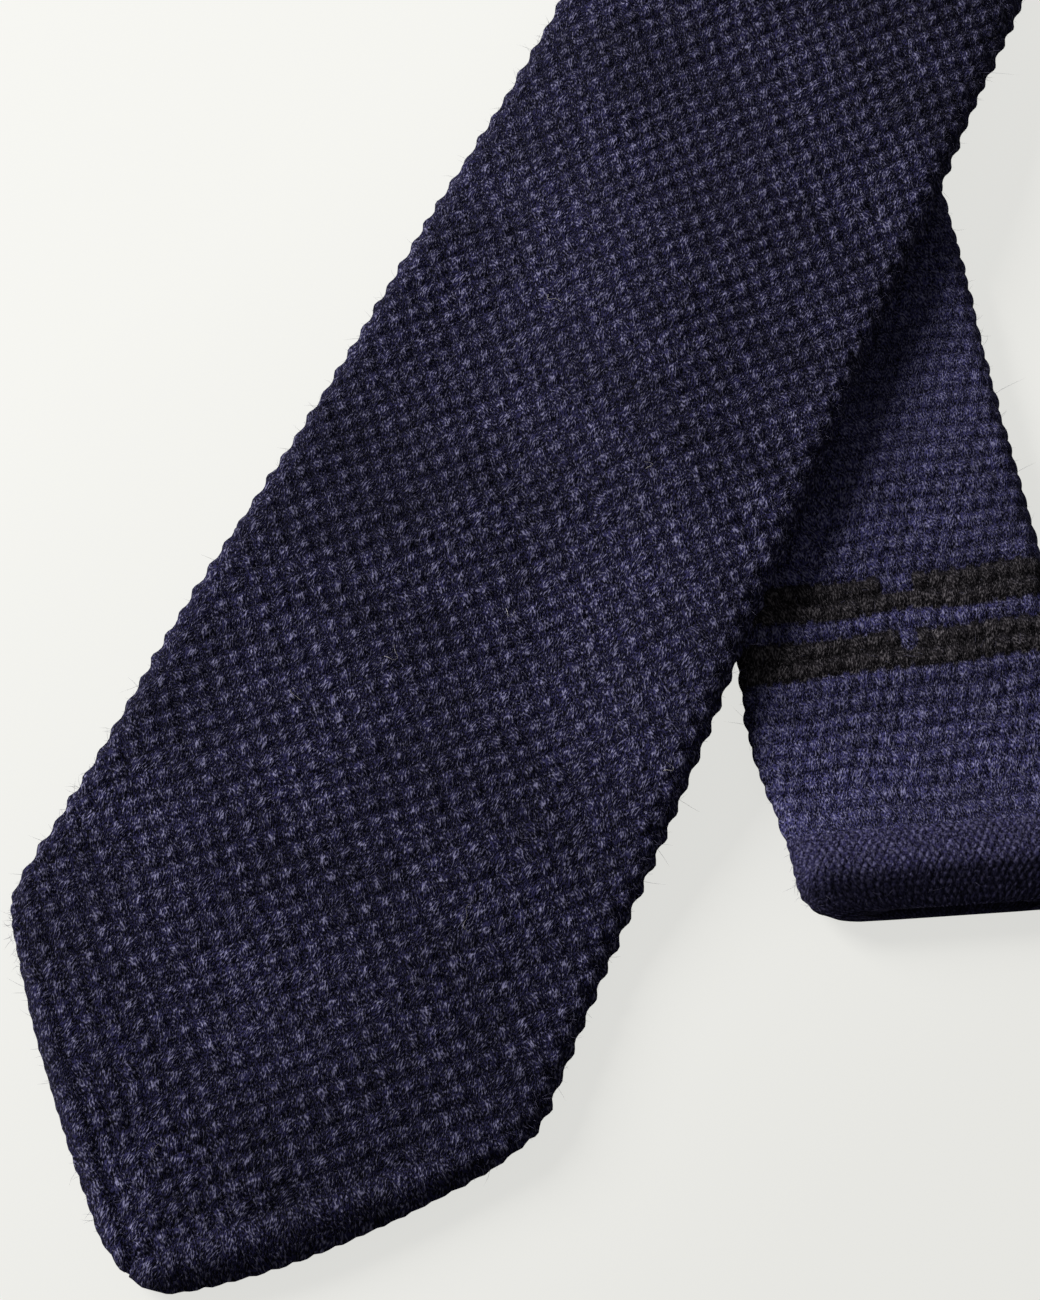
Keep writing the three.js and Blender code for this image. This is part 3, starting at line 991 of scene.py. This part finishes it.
def add_node(tree: Tree, kind: str, inputs: dict | None = None, **settings) -> bpy.types.Node:
    """Adds a node with its settings, its fixed inputs and its links.

    Args:
        tree: The tree to add to.
        kind: The node's type, after the word that all shader nodes start with.
        inputs: A value, another node or its socket for each input, by name or number.
        **settings: The node's own settings.

    Returns:
        The new node.
    """
    node = tree.nodes.new(f"ShaderNode{kind}")
    for name, value in settings.items():
        setattr(node, name, value)
    for key, value in (inputs or {}).items():
        if isinstance(value, bpy.types.Node):
            value = value.outputs[0]
        if isinstance(value, Socket):
            tree.links.new(value, node.inputs[key])
        else:
            node.inputs[key].default_value = value
    return node


@dataclass(frozen=True)
class WoolDyeAndPaintedLight:
    """Colours of one dyed wool and the light painted on it: painted shade in the pits, the dye on the body of
    the yarn, and a painted highlight on the lit tips of its fibres.
    """

    pit_shade: str
    body: str
    tip: str


# Each holds the dye on the body, painted shade in the pits and a painted highlight on the lit tips.
NAVY_DYE_AND_LIGHT = WoolDyeAndPaintedLight(pit_shade="#03020c", body="#2b294e", tip="#8785a6")
TAIL_NAVY_DYE_AND_LIGHT = WoolDyeAndPaintedLight(pit_shade="#090716", body="#424070", tip="#8c8ab0")
HEM_NAVY_DYE_AND_LIGHT = WoolDyeAndPaintedLight(pit_shade="#131126", body="#3b3861", tip="#77749a")
# Painted shade: the darker tones that the hem's rolled-over front fades to, as it turns from the light.
MOUTH_NAVY_PAINTED_SHADE = WoolDyeAndPaintedLight(pit_shade="#0d0c1b", body="#2b2947", tip="#4f4c6b")
BLACK_DYE_AND_LIGHT = WoolDyeAndPaintedLight(pit_shade="#060507", body="#2e2a2e", tip="#6d686d")


@dataclass(frozen=True)
class Strand:
    """How broad and long one kind of strand is drawn, in millimetres, and what part of its noise shows.

    The noise is raised by a share of the stitch's dome, and then spread from low to high; in the colour this
    paints the stitch tops lighter and the pits darker, as painted light and shade.
    """

    width: float
    length: float
    rise: float
    low: float
    high: float
    relief: float


@dataclass(frozen=True)
class LambswoolKnit:
    """Lambswool yarn, carded and spun from several plies, knitted in a raised chequer and lightly brushed.

    It gives the eye a dull, dark cloth whose stitches are grains with fine oblique streaks of ply. Loose
    fibres scatter light at the edges, so the cloth has a soft sheen and no glossy highlight. Its colour
    carries
    painted light: a painted highlight on the stitch tops and their plies, and painted shade in the pits.
    """

    name: str
    dye_and_light: WoolDyeAndPaintedLight
    later: WoolDyeAndPaintedLight  # what the dye has faded to, after the change along the tie; on the hem it is painted shade on the rolled-over front
    other: WoolDyeAndPaintedLight  # of stray stitches
    change: tuple[float, float] = (700.0, 1240.0)
    lean: float = -0.5  # turn of the plies from the tie's length, in radians
    lean_spread: float = 1.3
    ply: Strand = Strand(0.21, 0.5, 0.17, 0.57, 0.87, 0.17)  # a real ply is finer; it is drawn to show
    fibre: Strand = Strand(0.16, 0.32, 0.13, 0.37, 0.69, 0.1)
    dome: tuple[float, float] = (0.02, 0.48)  # where the dome starts to fall and has ended, in diagonals
    in_rows: bool = False  # whether the stitches keep to one row each, as on the tail
    shaded_edge_dome: float = 0.25  # share of the dome left on steep faces, such as the side edges: painted shade there
    dome_relief: float = 0.1
    depth: float = 0.8  # how far down a strand runs on over a steep edge
    edge_turned: tuple[float, float] = (0.3, 0.85)  # how level a face is where the painted shade is full, and where it ends
    patch: tuple[float, float] = (34.0, 15.0)  # slow changes of shade, across and along
    patch_shades: tuple[float, float] = (0.78, 1.22)
    own_shades: tuple[float, float] = (0.8, 1.2)  # of each stitch
    row_stretch: tuple[float, float, float] = (1.0, ROW_STRETCH, 0.0)
    grain_stretch: tuple[float, float, float] = (1.2, 0.85, 0.0)  # of a dome along the chequer's diagonals

    def material(self) -> bpy.types.Material:
        """Builds the material from the mesh's two maps and its stray attribute.

        The chequer map gives each stitch a dome that falls off with the distance from its middle, and a
        seeded shade and lean of its own. Noise stretched along that lean draws the plies and the fibres.

        Returns:
            The finished material.
        """
        material = bpy.data.materials.new(self.name)
        material.use_nodes = True
        tree = material.node_tree
        tree.nodes.clear()
        stitch = add_node(tree, "UVMap", uv_map="stitch").outputs[0]
        yarn = add_node(tree, "UVMap", uv_map="yarn").outputs[0]
        dome, chance = self.stitch_dome(tree, stitch)
        ply, fibre = self.strands(tree, yarn, dome, chance)
        patch = self.patches(tree, yarn)
        colour = self.colour(tree, yarn, ply, fibre, patch, chance)
        bump = self.relief(tree, dome, ply, fibre)
        shader = add_node(
            tree,
            "BsdfPrincipled",
            {
                "Base Color": colour,
                "Roughness": 0.92,
                "IOR": 1.45,
                "Specular IOR Level": 0.15,
                "Sheen Weight": 0.1,
                "Sheen Roughness": 0.4,
                "Sheen Tint": linear("#b9b2dd"),
                "Normal": bump,
            },
        )
        add_node(tree, "OutputMaterial", {"Surface": shader})
        return material

    def stitch_dome(self, tree: Tree, stitch: Socket) -> tuple:
        """A dome on each whole place of the chequer, narrower along one diagonal, and three chances for it.

        The domes are lower on steep faces, the side edges and the flanks of the stitches, which darkens their
        strands: painted shade, as such faces turn from the light.

        Args:
            tree: The material's tree.
            stitch: The chequer map.

        Returns:
            The dome's socket, and the socket of the stitch's random colour.
        """
        middle, away = self.nearest_stitch(tree, stitch)
        chance = add_node(tree, "TexWhiteNoise", {"Vector": middle}, noise_dimensions="3D")
        dome = add_node(
            tree,
            "MapRange",
            {
                "Value": away,
                "From Min": self.dome[0],
                "From Max": self.dome[1],
                "To Min": 1.0,
                "To Max": 0.0,
            },
            interpolation_type="SMOOTHSTEP",
        )
        # Painted shade: the steeper the face, the lower its dome, so the darker its colour.
        normal = add_node(tree, "TexCoord").outputs["Normal"]
        facing = add_node(tree, "SeparateXYZ", {0: normal})
        level = add_node(tree, "Math", {0: facing.outputs["Z"]}, operation="ABSOLUTE")
        on_face = add_node(
            tree,
            "MapRange",
            {
                "Value": level,
                "From Min": self.edge_turned[0],
                "From Max": self.edge_turned[1],
                "To Min": self.shaded_edge_dome,
            },
        )
        dome = add_node(tree, "Math", {0: dome, 1: on_face}, operation="MULTIPLY")
        return dome.outputs[0], chance.outputs["Color"]

    def nearest_stitch(self, tree: Tree, stitch: Socket) -> tuple:
        """The sockets of the nearest stitch's middle and of how far it is, as the mesh has its bumps.

        In rows, the chequer is turned to cells across and rows, and the nearer one of the stitches on whole
        and on half places is taken.

        Args:
            tree: The material's tree.
            stitch: The chequer map.

        Returns:
            The middle's socket, and the distance's.
        """
        shifts, stretch = (0.5,), self.grain_stretch
        if self.in_rows:
            shifts, stretch = (0.5, 0.0), self.row_stretch
            turned = add_node(
                tree,
                "VectorRotate",
                {"Vector": stitch, "Angle": -math.pi / 4},
                rotation_type="Z_AXIS",
            )
            half = {0: turned, "Scale": math.sqrt(0.5)}
            stitch = add_node(tree, "VectorMath", half, operation="SCALE").outputs[0]
        found = []
        for shift in shifts:
            ahead = (shift, shift, 0.0)
            moved = add_node(tree, "VectorMath", {0: stitch, 1: ahead}, operation="ADD")
            whole = add_node(tree, "VectorMath", {0: moved}, operation="FLOOR")
            back = (0.5 - shift, 0.5 - shift, 0.0)
            middle = add_node(tree, "VectorMath", {0: whole, 1: back}, operation="ADD")
            rest = add_node(tree, "VectorMath", {0: stitch, 1: middle}, operation="SUBTRACT")
            stretched = add_node(tree, "VectorMath", {0: rest, 1: stretch}, operation="MULTIPLY")
            away = add_node(tree, "VectorMath", {0: stretched}, operation="LENGTH")
            found.append((middle.outputs[0], away.outputs["Value"]))
        if len(found) == 1:
            return found[0]
        (middle, away), (other, other_away) = found
        nearer = add_node(tree, "Math", {0: other_away, 1: away}, operation="LESS_THAN")
        chosen = add_node(tree, "Mix", {0: nearer, 4: middle, 5: other}, data_type="VECTOR")
        least = add_node(tree, "Math", {0: away, 1: other_away}, operation="MINIMUM")
        return chosen.outputs[1], least.outputs[0]

    def strands(self, tree: Tree, yarn: Socket, dome: Socket, chance: Socket) -> tuple:
        """Plies and fibres: noise stretched along a direction that turns a little from stitch to stitch.

        Height is its third direction, so that no strand is drawn out over a steep edge.

        Args:
            tree: The material's tree.
            yarn: The map in millimetres.
            dome: Height of the stitch.
            chance: The stitch's random colour.

        Returns:
            The plies' and the fibres' sockets, from 0 to 1.
        """
        parts = add_node(tree, "SeparateColor", {0: chance})
        angle = add_node(
            tree,
            "MapRange",
            {
                "Value": parts.outputs[1],
                "To Min": self.lean - self.lean_spread / 2,
                "To Max": self.lean + self.lean_spread / 2,
            },
        )
        place = add_node(tree, "TexCoord").outputs["Object"]
        height = add_node(tree, "VectorMath", {0: place, 1: (0.0, 0.0, 1 / MM)}, operation="MULTIPLY")
        solid = add_node(tree, "VectorMath", {0: yarn, 1: height}, operation="ADD")
        turned = add_node(tree, "VectorRotate", {"Vector": solid, "Angle": angle}, rotation_type="Z_AXIS")
        found = []
        for strand in (self.ply, self.fibre):
            scaled = add_node(
                tree,
                "VectorMath",
                {0: turned, 1: (1 / strand.width, 1 / strand.length, 1 / self.depth)},
                operation="MULTIPLY",
            )
            noise = add_node(tree, "TexNoise", {"Vector": scaled, "Scale": 1.0, "Detail": 0.0})
            # The dome lifts the strands on the stitch tops: in the colour, a painted highlight there and
            # painted shade in the pits.
            raised = self.total(tree, ((noise.outputs[0], 1.0), (dome, strand.rise)))
            spread = add_node(
                tree, "MapRange", {"Value": raised, "From Min": strand.low, "From Max": strand.high}
            )
            found.append(spread.outputs[0])
        return tuple(found)

    def patches(self, tree: Tree, yarn: Socket) -> Socket:
        """Slow changes of shade in soft bands across the cloth, as wool takes dye and pressing unevenly."""
        width, length = self.patch
        scaled = add_node(
            tree, "VectorMath", {0: yarn, 1: (1 / width, 1 / length, 0.0)}, operation="MULTIPLY"
        )
        noise = add_node(
            tree,
            "TexNoise",
            {"Vector": scaled, "Scale": 1.0, "Detail": 2.0},
            noise_dimensions="2D",
        )
        spread = add_node(
            tree,
            "MapRange",
            {
                "Value": noise,
                "From Min": NOISE_SPAN[0],
                "From Max": NOISE_SPAN[1],
                "To Min": self.patch_shades[0],
                "To Max": self.patch_shades[1],
            },
        )
        return spread.outputs[0]

    def colour(
        self, tree: Tree, yarn: Socket, ply: Socket, fibre: Socket, patch: Socket, chance: Socket
    ) -> Socket:
        """Shades from the painted shade of the pits to the body's dye by the fibres, on to the painted
        highlight of the tips by the plies, and then by chance.

        Args:
            tree: The material's tree.
            yarn: The map in millimetres.
            ply: The plies' share.
            fibre: The fibres' share.
            patch: The slow change of shade.
            chance: The stitch's random colour.

        Returns:
            The base colour's socket.
        """
        stray = add_node(tree, "Attribute", attribute_name="stray").outputs["Fac"]
        place = add_node(tree, "SeparateXYZ", {0: yarn})
        along = add_node(
            tree,
            "MapRange",
            {"Value": place.outputs["Y"], "From Min": self.change[0], "From Max": self.change[1]},
        )
        shades = []
        for tone in ("pit_shade", "body", "tip"):
            own, later, other = (linear(getattr(dye_and_light, tone)) for dye_and_light in (self.dye_and_light, self.later, self.other))
            navy = add_node(tree, "Mix", {0: along, 6: own, 7: later}, data_type="RGBA")
            shade = add_node(tree, "Mix", {0: stray, 6: navy.outputs[2], 7: other}, data_type="RGBA")
            shades.append(shade.outputs[2])
        low = add_node(tree, "Mix", {0: fibre, 6: shades[0], 7: shades[1]}, data_type="RGBA")
        high = add_node(tree, "Mix", {0: ply, 6: low.outputs[2], 7: shades[2]}, data_type="RGBA")
        parts = add_node(tree, "SeparateColor", {0: chance})
        low_shade, high_shade = self.own_shades
        own_shade = add_node(tree, "MapRange", {"Value": parts, "To Min": low_shade, "To Max": high_shade})
        both = add_node(tree, "Math", {0: own_shade, 1: patch}, operation="MULTIPLY")
        shaded = add_node(tree, "VectorMath", {0: high.outputs[2], "Scale": both}, operation="SCALE")
        return shaded.outputs[0]

    def relief(self, tree: Tree, dome: Socket, ply: Socket, fibre: Socket) -> Socket:
        """Bump of the stitch, its plies and its fibres, in millimetres."""
        parts = ((dome, self.dome_relief), (ply, self.ply.relief), (fibre, self.fibre.relief))
        bump = add_node(tree, "Bump", {"Height": self.total(tree, parts), "Distance": MM})
        return bump.outputs[0]

    @staticmethod
    def total(tree: Tree, parts: tuple) -> Socket:
        """Adds up sockets, each times its weight."""
        height = None
        for socket, weight in parts:
            part = add_node(tree, "Math", {0: socket, 1: weight}, operation="MULTIPLY").outputs[0]
            if height is not None:
                part = add_node(tree, "Math", {0: height, 1: part}, operation="ADD").outputs[0]
            height = part
        return height


@dataclass(frozen=True)
class LooseFibre:
    """A single loose wool fibre: thin enough to be half clear, so it is a plain soft colour without shine."""

    name: str
    colour: str
    shades: tuple[float, float] = (0.6, 1.4)
    shade_change: float = 900.0  # changes of shade to a metre of fibre

    def material(self) -> bpy.types.Material:
        """Builds the material, with a slow noise of shade along the fibres."""
        material = bpy.data.materials.new(self.name)
        material.use_nodes = True
        tree = material.node_tree
        tree.nodes.clear()
        place = add_node(tree, "TexCoord").outputs["Object"]
        noise = add_node(tree, "TexNoise", {"Vector": place, "Scale": self.shade_change, "Detail": 1.0})
        share = add_node(
            tree,
            "MapRange",
            {
                "Value": noise,
                "From Min": NOISE_SPAN[0],
                "From Max": NOISE_SPAN[1],
                "To Min": self.shades[0],
                "To Max": self.shades[1],
            },
        )
        tone = add_node(
            tree,
            "VectorMath",
            {0: linear(self.colour)[:3], "Scale": share},
            operation="SCALE",
        )
        shader = add_node(
            tree,
            "BsdfPrincipled",
            {"Base Color": tone, "Roughness": 0.8, "Specular IOR Level": 0.2, "Sheen Weight": 0.2},
        )
        add_node(tree, "OutputMaterial", {"Surface": shader})
        return material


SPINDLE_THINNING = 0.55  # share of its radius that a fibre loses up to its tip


def spindles(paths: np.ndarray, radius: np.ndarray) -> tuple[np.ndarray, np.ndarray]:
    """Three-sided spindles along paths: a point at each end and a ring of three at each place between.

    Args:
        paths: Places, with one path a row and x, y and z on the last axis.
        radius: Radius of each path at its middle.

    Returns:
        The points and the triangles.
    """
    count, places, _ = paths.shape
    along = np.gradient(paths, axis=1)
    along /= np.linalg.norm(along, axis=-1, keepdims=True)
    side = np.cross(along, np.array([0.31, 0.23, 0.92]))
    side /= np.linalg.norm(side, axis=-1, keepdims=True)
    other = np.cross(along, side)
    share = np.linspace(0.0, 1.0, places)
    swell = (radius[:, None] * (1 - SPINDLE_THINNING * share))[:, 1:-1, None]
    rings = []
    for corner in range(3):
        angle = 2 * math.pi * corner / 3
        rings.append(paths[:, 1:-1] + swell * (math.cos(angle) * side + math.sin(angle) * other)[:, 1:-1])
    ring_count = places - 2
    middle = np.stack(rings, axis=2).reshape(count, ring_count * 3, 3)
    points = np.concatenate([paths[:, :1], middle, paths[:, -1:]], axis=1)
    last = 1 + ring_count * 3
    pattern = []
    for corner in range(3):
        after = (corner + 1) % 3
        pattern.append((0, 1 + after, 1 + corner))
        pattern.append((last, last - 3 + corner, last - 3 + after))
        for ring in range(ring_count - 1):
            a, b = 1 + 3 * ring + corner, 1 + 3 * ring + after
            pattern.append((a, b, b + 3))
            pattern.append((a, b + 3, a + 3))
    triangles = np.array(pattern)[None] + (np.arange(count) * (last + 1))[:, None, None]
    return points.reshape(-1, 3), triangles.reshape(-1, 3)


@dataclass(frozen=True)
class FuzzPatch:
    """Where loose fibres stand out of the knitting, and how many."""

    name: str
    start: float
    end: float
    count: int
    draped: bool


@dataclass
class LooseFibres:
    """The fuzz: short seeded fibres that leave the stitches, bend over and lie near the cloth."""

    tie: KnittedTie
    usual_length: float = 0.95
    radius: float = 0.021
    root_depth: float = 0.35
    length_spread: float = 0.45
    tip_over: tuple[float, float] = (15.0, 80.0)  # degrees from upright
    bend: float = 0.35
    lowest: float = 0.06
    hair_radius: float = 0.035
    seed: int = 7

    def fuzz(self, patch: FuzzPatch) -> bpy.types.Object:
        """Grows a patch of fuzz.

        A fibre's path is its root, plus its length times a direction between the normal and the cloth, plus
        a bend sideways that grows with the square of the way along it.

        Args:
            patch: Where, and how many.

        Returns:
            The finished object.
        """
        rng = np.random.default_rng(self.seed + int(patch.start))
        distance = rng.uniform(patch.start, patch.end, patch.count)
        on_face = rng.uniform(-EDGE_TURN, EDGE_TURN, patch.count)
        on_edge = rng.choice([-1.0, 1.0], patch.count) * rng.normal(EDGE_TURN - 0.3, 0.5, patch.count)
        turn = np.where(rng.random(patch.count) < 0.5, on_face, on_edge)
        base = self.tie.skin(distance, turn, patch.draped)
        normal, across, along = self.tie.normals(distance, turn, patch.draped)
        length = self.usual_length * np.exp(rng.normal(0.0, self.length_spread, patch.count))
        tip_over = np.radians(rng.uniform(*self.tip_over, patch.count))[:, None]
        swing = rng.uniform(0.0, 2 * math.pi, patch.count)[:, None]
        flat_way = np.cos(swing) * across + np.sin(swing) * along
        way = np.cos(tip_over) * normal + np.sin(tip_over) * flat_way
        bend = rng.normal(0.0, self.bend, (patch.count, 3)) - 0.15 * normal
        share = np.linspace(0.0, 1.0, 4)[None, :, None]
        sweep = length[:, None, None] * (share * way[:, None] + share**2 * bend[:, None])
        paths = (base - self.root_depth * normal)[:, None] + sweep
        paths[..., 2] = np.maximum(paths[..., 2], self.lowest)
        points, triangles = spindles(paths, np.full(patch.count, self.radius))
        return self.mesh_object(patch.name, points, triangles)

    def lint(self, name: str, hairs: tuple[tuple[float, float, float, float], ...]) -> bpy.types.Object:
        """Lays single pale hairs on the front blade, each a curl whose turning grows along it.

        Args:
            name: Name of the object.
            hairs: Distance and millimetres across of the middle, length and first direction in degrees.

        Returns:
            The finished object.
        """
        rng = np.random.default_rng(self.seed)
        table = np.array(hairs)
        share = np.linspace(-0.5, 0.5, 11)[None, :]
        curl = rng.uniform(1.5, 4.0, (len(hairs), 1)) * rng.choice([-1.0, 1.0], (len(hairs), 1))
        heading = np.radians(table[:, 3:4]) + curl * share + 0.7 * np.sin(9.0 * share + curl)
        strides = table[:, 2:3] / 10
        along = table[:, 0:1] + np.cumsum(strides * np.cos(heading), axis=1)
        across = table[:, 1:2] + np.cumsum(strides * np.sin(heading), axis=1)
        turn = across / self.tie.lattice.cell_width(along)
        base = self.tie.skin(along, turn, True)
        base[..., 2] += 0.12 + 0.25 * np.abs(np.sin(5.0 * share + curl))
        points, triangles = spindles(base, np.full(len(hairs), self.hair_radius))
        return self.mesh_object(name, points, triangles)

    @staticmethod
    def mesh_object(name: str, points: np.ndarray, triangles: np.ndarray) -> bpy.types.Object:
        """Makes a smooth mesh object of points in millimetres and triangles."""
        mesh = bpy.data.meshes.new(name)
        mesh.vertices.add(len(points))
        mesh.vertices.foreach_set("co", (points * MM).ravel())
        mesh.loops.add(triangles.size)
        mesh.loops.foreach_set("vertex_index", triangles.ravel())
        mesh.polygons.add(len(triangles))
        mesh.polygons.foreach_set("loop_start", np.arange(len(triangles)) * 3)
        mesh.update(calc_edges=True)
        mesh.shade_smooth()
        mesh.validate()
        made = bpy.data.objects.new(name, mesh)
        bpy.context.scene.collection.objects.link(made)
        return made


@dataclass
class Studio:
    """A pale floor, a broad soft light from the upper left, and a camera at the photograph's angle."""

    crossing: np.ndarray
    aim_from_crossing: tuple[float, float] = (-21.08, -98.22)
    aim_height: float = 2.3
    azimuth: float = 8.7
    elevation: float = 64.3
    camera_distance: float = 322.6
    lens: float = 70.34  # on a sensor 36 mm along the picture's longer side
    floor_side: float = 160.0  # metres, so that no edge shows from a low camera
    floor_glow: tuple[float, float] = (0.76, 0.668)  # painted light: a glow that only the camera sees, at the picture's upper left and lower right
    glow_reach: float = 0.075  # metres from the aim to either
    light_left: float = 1.28
    light_up: float = 0.72
    light_height: float = 0.74
    light_side: float = 0.7
    light_power: float = 28.6
    sky_strength: float = 0.1
    sky_seen: float = 0.7  # what the camera sees of it, past the floor

    def aim(self) -> Vector:
        """The point of the floor's plane that the camera looks at, in metres."""
        x = (self.crossing[0] + self.aim_from_crossing[0]) * MM
        y = (self.crossing[1] + self.aim_from_crossing[1]) * MM
        return Vector((x, y, self.aim_height * MM))

    def picture_axes(self) -> tuple[Vector, Vector]:
        """The picture's right and up, laid flat on the floor."""
        turn = math.radians(self.azimuth)
        return Vector((math.cos(turn), math.sin(turn), 0.0)), Vector((-math.sin(turn), math.cos(turn), 0.0))

    def build(self) -> None:
        """Makes the camera, the floor, the light and the sky."""
        scene = bpy.context.scene
        scene.view_settings.view_transform = "Standard"
        right, up = self.picture_axes()
        tilt = math.radians(self.elevation)
        reach = self.camera_distance * MM
        camera_data = bpy.data.cameras.new("camera")
        camera_data.lens = self.lens
        camera_data.clip_start = 0.01
        camera = bpy.data.objects.new("camera", camera_data)
        scene.collection.objects.link(camera)
        back = up * reach * math.cos(tilt)
        camera.location = self.aim() - back + Vector((0.0, 0.0, reach * math.sin(tilt)))
        camera.rotation_euler = (math.pi / 2 - tilt, 0.0, math.radians(self.azimuth))
        scene.camera = camera
        self.floor()
        beside = up * self.light_up - right * self.light_left
        self.light(self.aim() + beside + Vector((0.0, 0.0, self.light_height)))
        self.sky()

    def floor(self) -> None:
        """A smooth matt floor, painted pale grey.

        The camera sees it lifted towards white by a glow, which is painted light: more at the upper left,
        towards the lamp, and paling the shadows on it. The wool gets only the light that the matt paint
        throws back.
        """
        half = self.floor_side / 2
        mesh = bpy.data.meshes.new("floor")
        corners = [(-half, -half, 0.0), (half, -half, 0.0), (half, half, 0.0), (-half, half, 0.0)]
        mesh.from_pydata(corners, [], [(0, 1, 2, 3)])
        floor = bpy.data.objects.new("floor", mesh)
        bpy.context.scene.collection.objects.link(floor)
        material = bpy.data.materials.new("matt_pale_grey_paint")
        material.use_nodes = True
        tree = material.node_tree
        tree.nodes.clear()
        place = add_node(tree, "TexCoord").outputs["Object"]
        noise = add_node(tree, "TexNoise", {"Vector": place, "Scale": 2.0, "Detail": 1.0})
        tone = add_node(
            tree,
            "Mix",
            {0: noise, 6: linear("#898986"), 7: linear("#8c8b88")},
            data_type="RGBA",
        )
        right, up = self.picture_axes()
        away = (right - up).normalized()
        aim = self.aim()
        offset = add_node(tree, "VectorMath", {0: place, 1: tuple(aim)}, operation="SUBTRACT")
        down_right = add_node(tree, "VectorMath", {0: offset, 1: tuple(away)}, operation="DOT_PRODUCT")
        # Painted light: the glow is stronger towards the lamp at the upper left.
        lift = add_node(
            tree,
            "MapRange",
            {
                "Value": down_right.outputs["Value"],
                "From Min": -self.glow_reach,
                "From Max": self.glow_reach,
                "To Min": self.floor_glow[0],
                "To Max": self.floor_glow[1],
            },
        )
        to_camera = add_node(tree, "LightPath").outputs["Is Camera Ray"]
        glow = add_node(tree, "Math", {0: lift, 1: to_camera}, operation="MULTIPLY")
        shader = add_node(
            tree,
            "BsdfPrincipled",
            {
                "Base Color": tone.outputs[2],
                "Roughness": 0.85,
                "Specular IOR Level": 0.1,
                "Emission Color": linear("#fffffb"),
                "Emission Strength": glow,
            },
        )
        add_node(tree, "OutputMaterial", {"Surface": shader})
        mesh.materials.append(material)

    def light(self, place: Vector) -> None:
        """A square area light that looks at the aim.

        Args:
            place: Where it hangs, in metres.
        """
        data = bpy.data.lights.new("soft_light", "AREA")
        data.shape = "SQUARE"
        data.size = self.light_side
        data.energy = self.light_power
        data.color = (1.0, 0.995, 0.98)
        lamp = bpy.data.objects.new("soft_light", data)
        bpy.context.scene.collection.objects.link(lamp)
        lamp.location = place
        lamp.rotation_euler = (self.aim() - place).to_track_quat("-Z", "Y").to_euler()

    def sky(self) -> None:
        """An even pale sky, lifted to the camera as the floor is."""
        world = bpy.data.worlds.new("pale_sky")
        world.use_nodes = True
        tree = world.node_tree
        tree.nodes.clear()
        to_camera = add_node(tree, "LightPath").outputs["Is Camera Ray"]
        strength = add_node(
            tree,
            "MapRange",
            {"Value": to_camera, "To Min": self.sky_strength, "To Max": self.sky_seen},
        )
        background = add_node(
            tree,
            "Background",
            {"Color": linear("#fbfcfb"), "Strength": strength},
        )
        add_node(tree, "OutputWorld", {"Surface": background})
        bpy.context.scene.world = world


# Pale hairs that lie on the front blade: distance, millimetres across, length, first direction in degrees.
LINT_HAIRS = (
    (83.5, -7.9, 4.0, 20.0),
    (74.5, -13.9, 3.5, -60.0),
    (96.5, 3.3, 3.0, 75.0),
    (16.3, -8.6, 2.5, 60.0),
    (55.8, 18.4, 4.5, -30.0),
    (82.9, 30.5, 3.0, 10.0),
    (141.0, -11.0, 3.0, 100.0),
    (120.0, 12.0, 2.5, -20.0),
)


def main() -> None:
    """Builds the studio, knits each stretch and grows the fuzz."""
    logging.basicConfig(level=logging.INFO, format="%(message)s")
    tie = KnittedTie()
    Studio(tie.crossing).build()
    upright = {
        "lean": -0.15,
        "lean_spread": 0.9,
        "ply": Strand(0.2, 0.46, 0.09, 0.52, 0.865, 0.14),
        "fibre": Strand(0.16, 0.3, 0.11, 0.355, 0.715, 0.09),
        "dome": (0.1, 0.62),
        "in_rows": True,
    }
    length = tie.sizes.length
    flat = {
        # Painted shade: where the hem's front rolls over, its colours fade to the darker mouth tones.
        "change": (length - 5.2, length - 3.6),
        "lean": 0.0,
        "ply": Strand(0.3, 0.4, 0.1, 0.5, 0.95, 0.05),
        "fibre": Strand(0.2, 0.3, 0.15, 0.36, 0.8, 0.05),
        "dome": (0.1, 0.7),
    }
    blade, tail, black = NAVY_DYE_AND_LIGHT, TAIL_NAVY_DYE_AND_LIGHT, BLACK_DYE_AND_LIGHT
    blade_wool = LambswoolKnit("navy_lambswool_knit", blade, tail, black).material()
    tail_wool = LambswoolKnit("navy_lambswool_tail", tail, tail, black, **upright).material()
    black_wool = LambswoolKnit("black_lambswool_knit", black, black, tail, **upright).material()
    hem_wool = LambswoolKnit("navy_lambswool_hem", HEM_NAVY_DYE_AND_LIGHT, MOUTH_NAVY_PAINTED_SHADE, black, **flat).material()
    for stretch in tie.stretches():
        piece = tie.shell(stretch)
        navy = tail_wool if stretch.start > tie.tail_wool_from else blade_wool
        navy = hem_wool if stretch.fine_stitches else navy
        piece.data.materials.append(black_wool if stretch.yarn is Yarn.BLACK else navy)
        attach(piece, "root")
        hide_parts(stretch.node)
        log.info("%s: %d points", piece.name, len(piece.data.vertices))
    fibres = LooseFibres(tie)
    patches = (
        FuzzPatch("blade_fuzz", tie.outline.nose + 1.0, 225.0, 6000, True),
        FuzzPatch("tail_fuzz", 1325.0, length - 0.5, 2600, False),
        FuzzPatch("loop_fuzz", 330.0, 1325.0, 5000, False),
    )
    fuzz_wool = LooseFibre("loose_navy_fibre", "#615d7c").material()
    for patch in patches:
        piece = fibres.fuzz(patch)
        piece.data.materials.append(fuzz_wool)
        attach(piece, "root")
        log.info("%s: %d fibres", piece.name, patch.count)
    hairs = fibres.lint("pale_hairs", LINT_HAIRS)
    hairs.data.materials.append(LooseFibre("undyed_wool_hair", "#d2cdc8").material())
    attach(hairs, "root")
    log.info("%s: %d hairs", hairs.name, len(LINT_HAIRS))


if __name__ == "__main__":
    main()
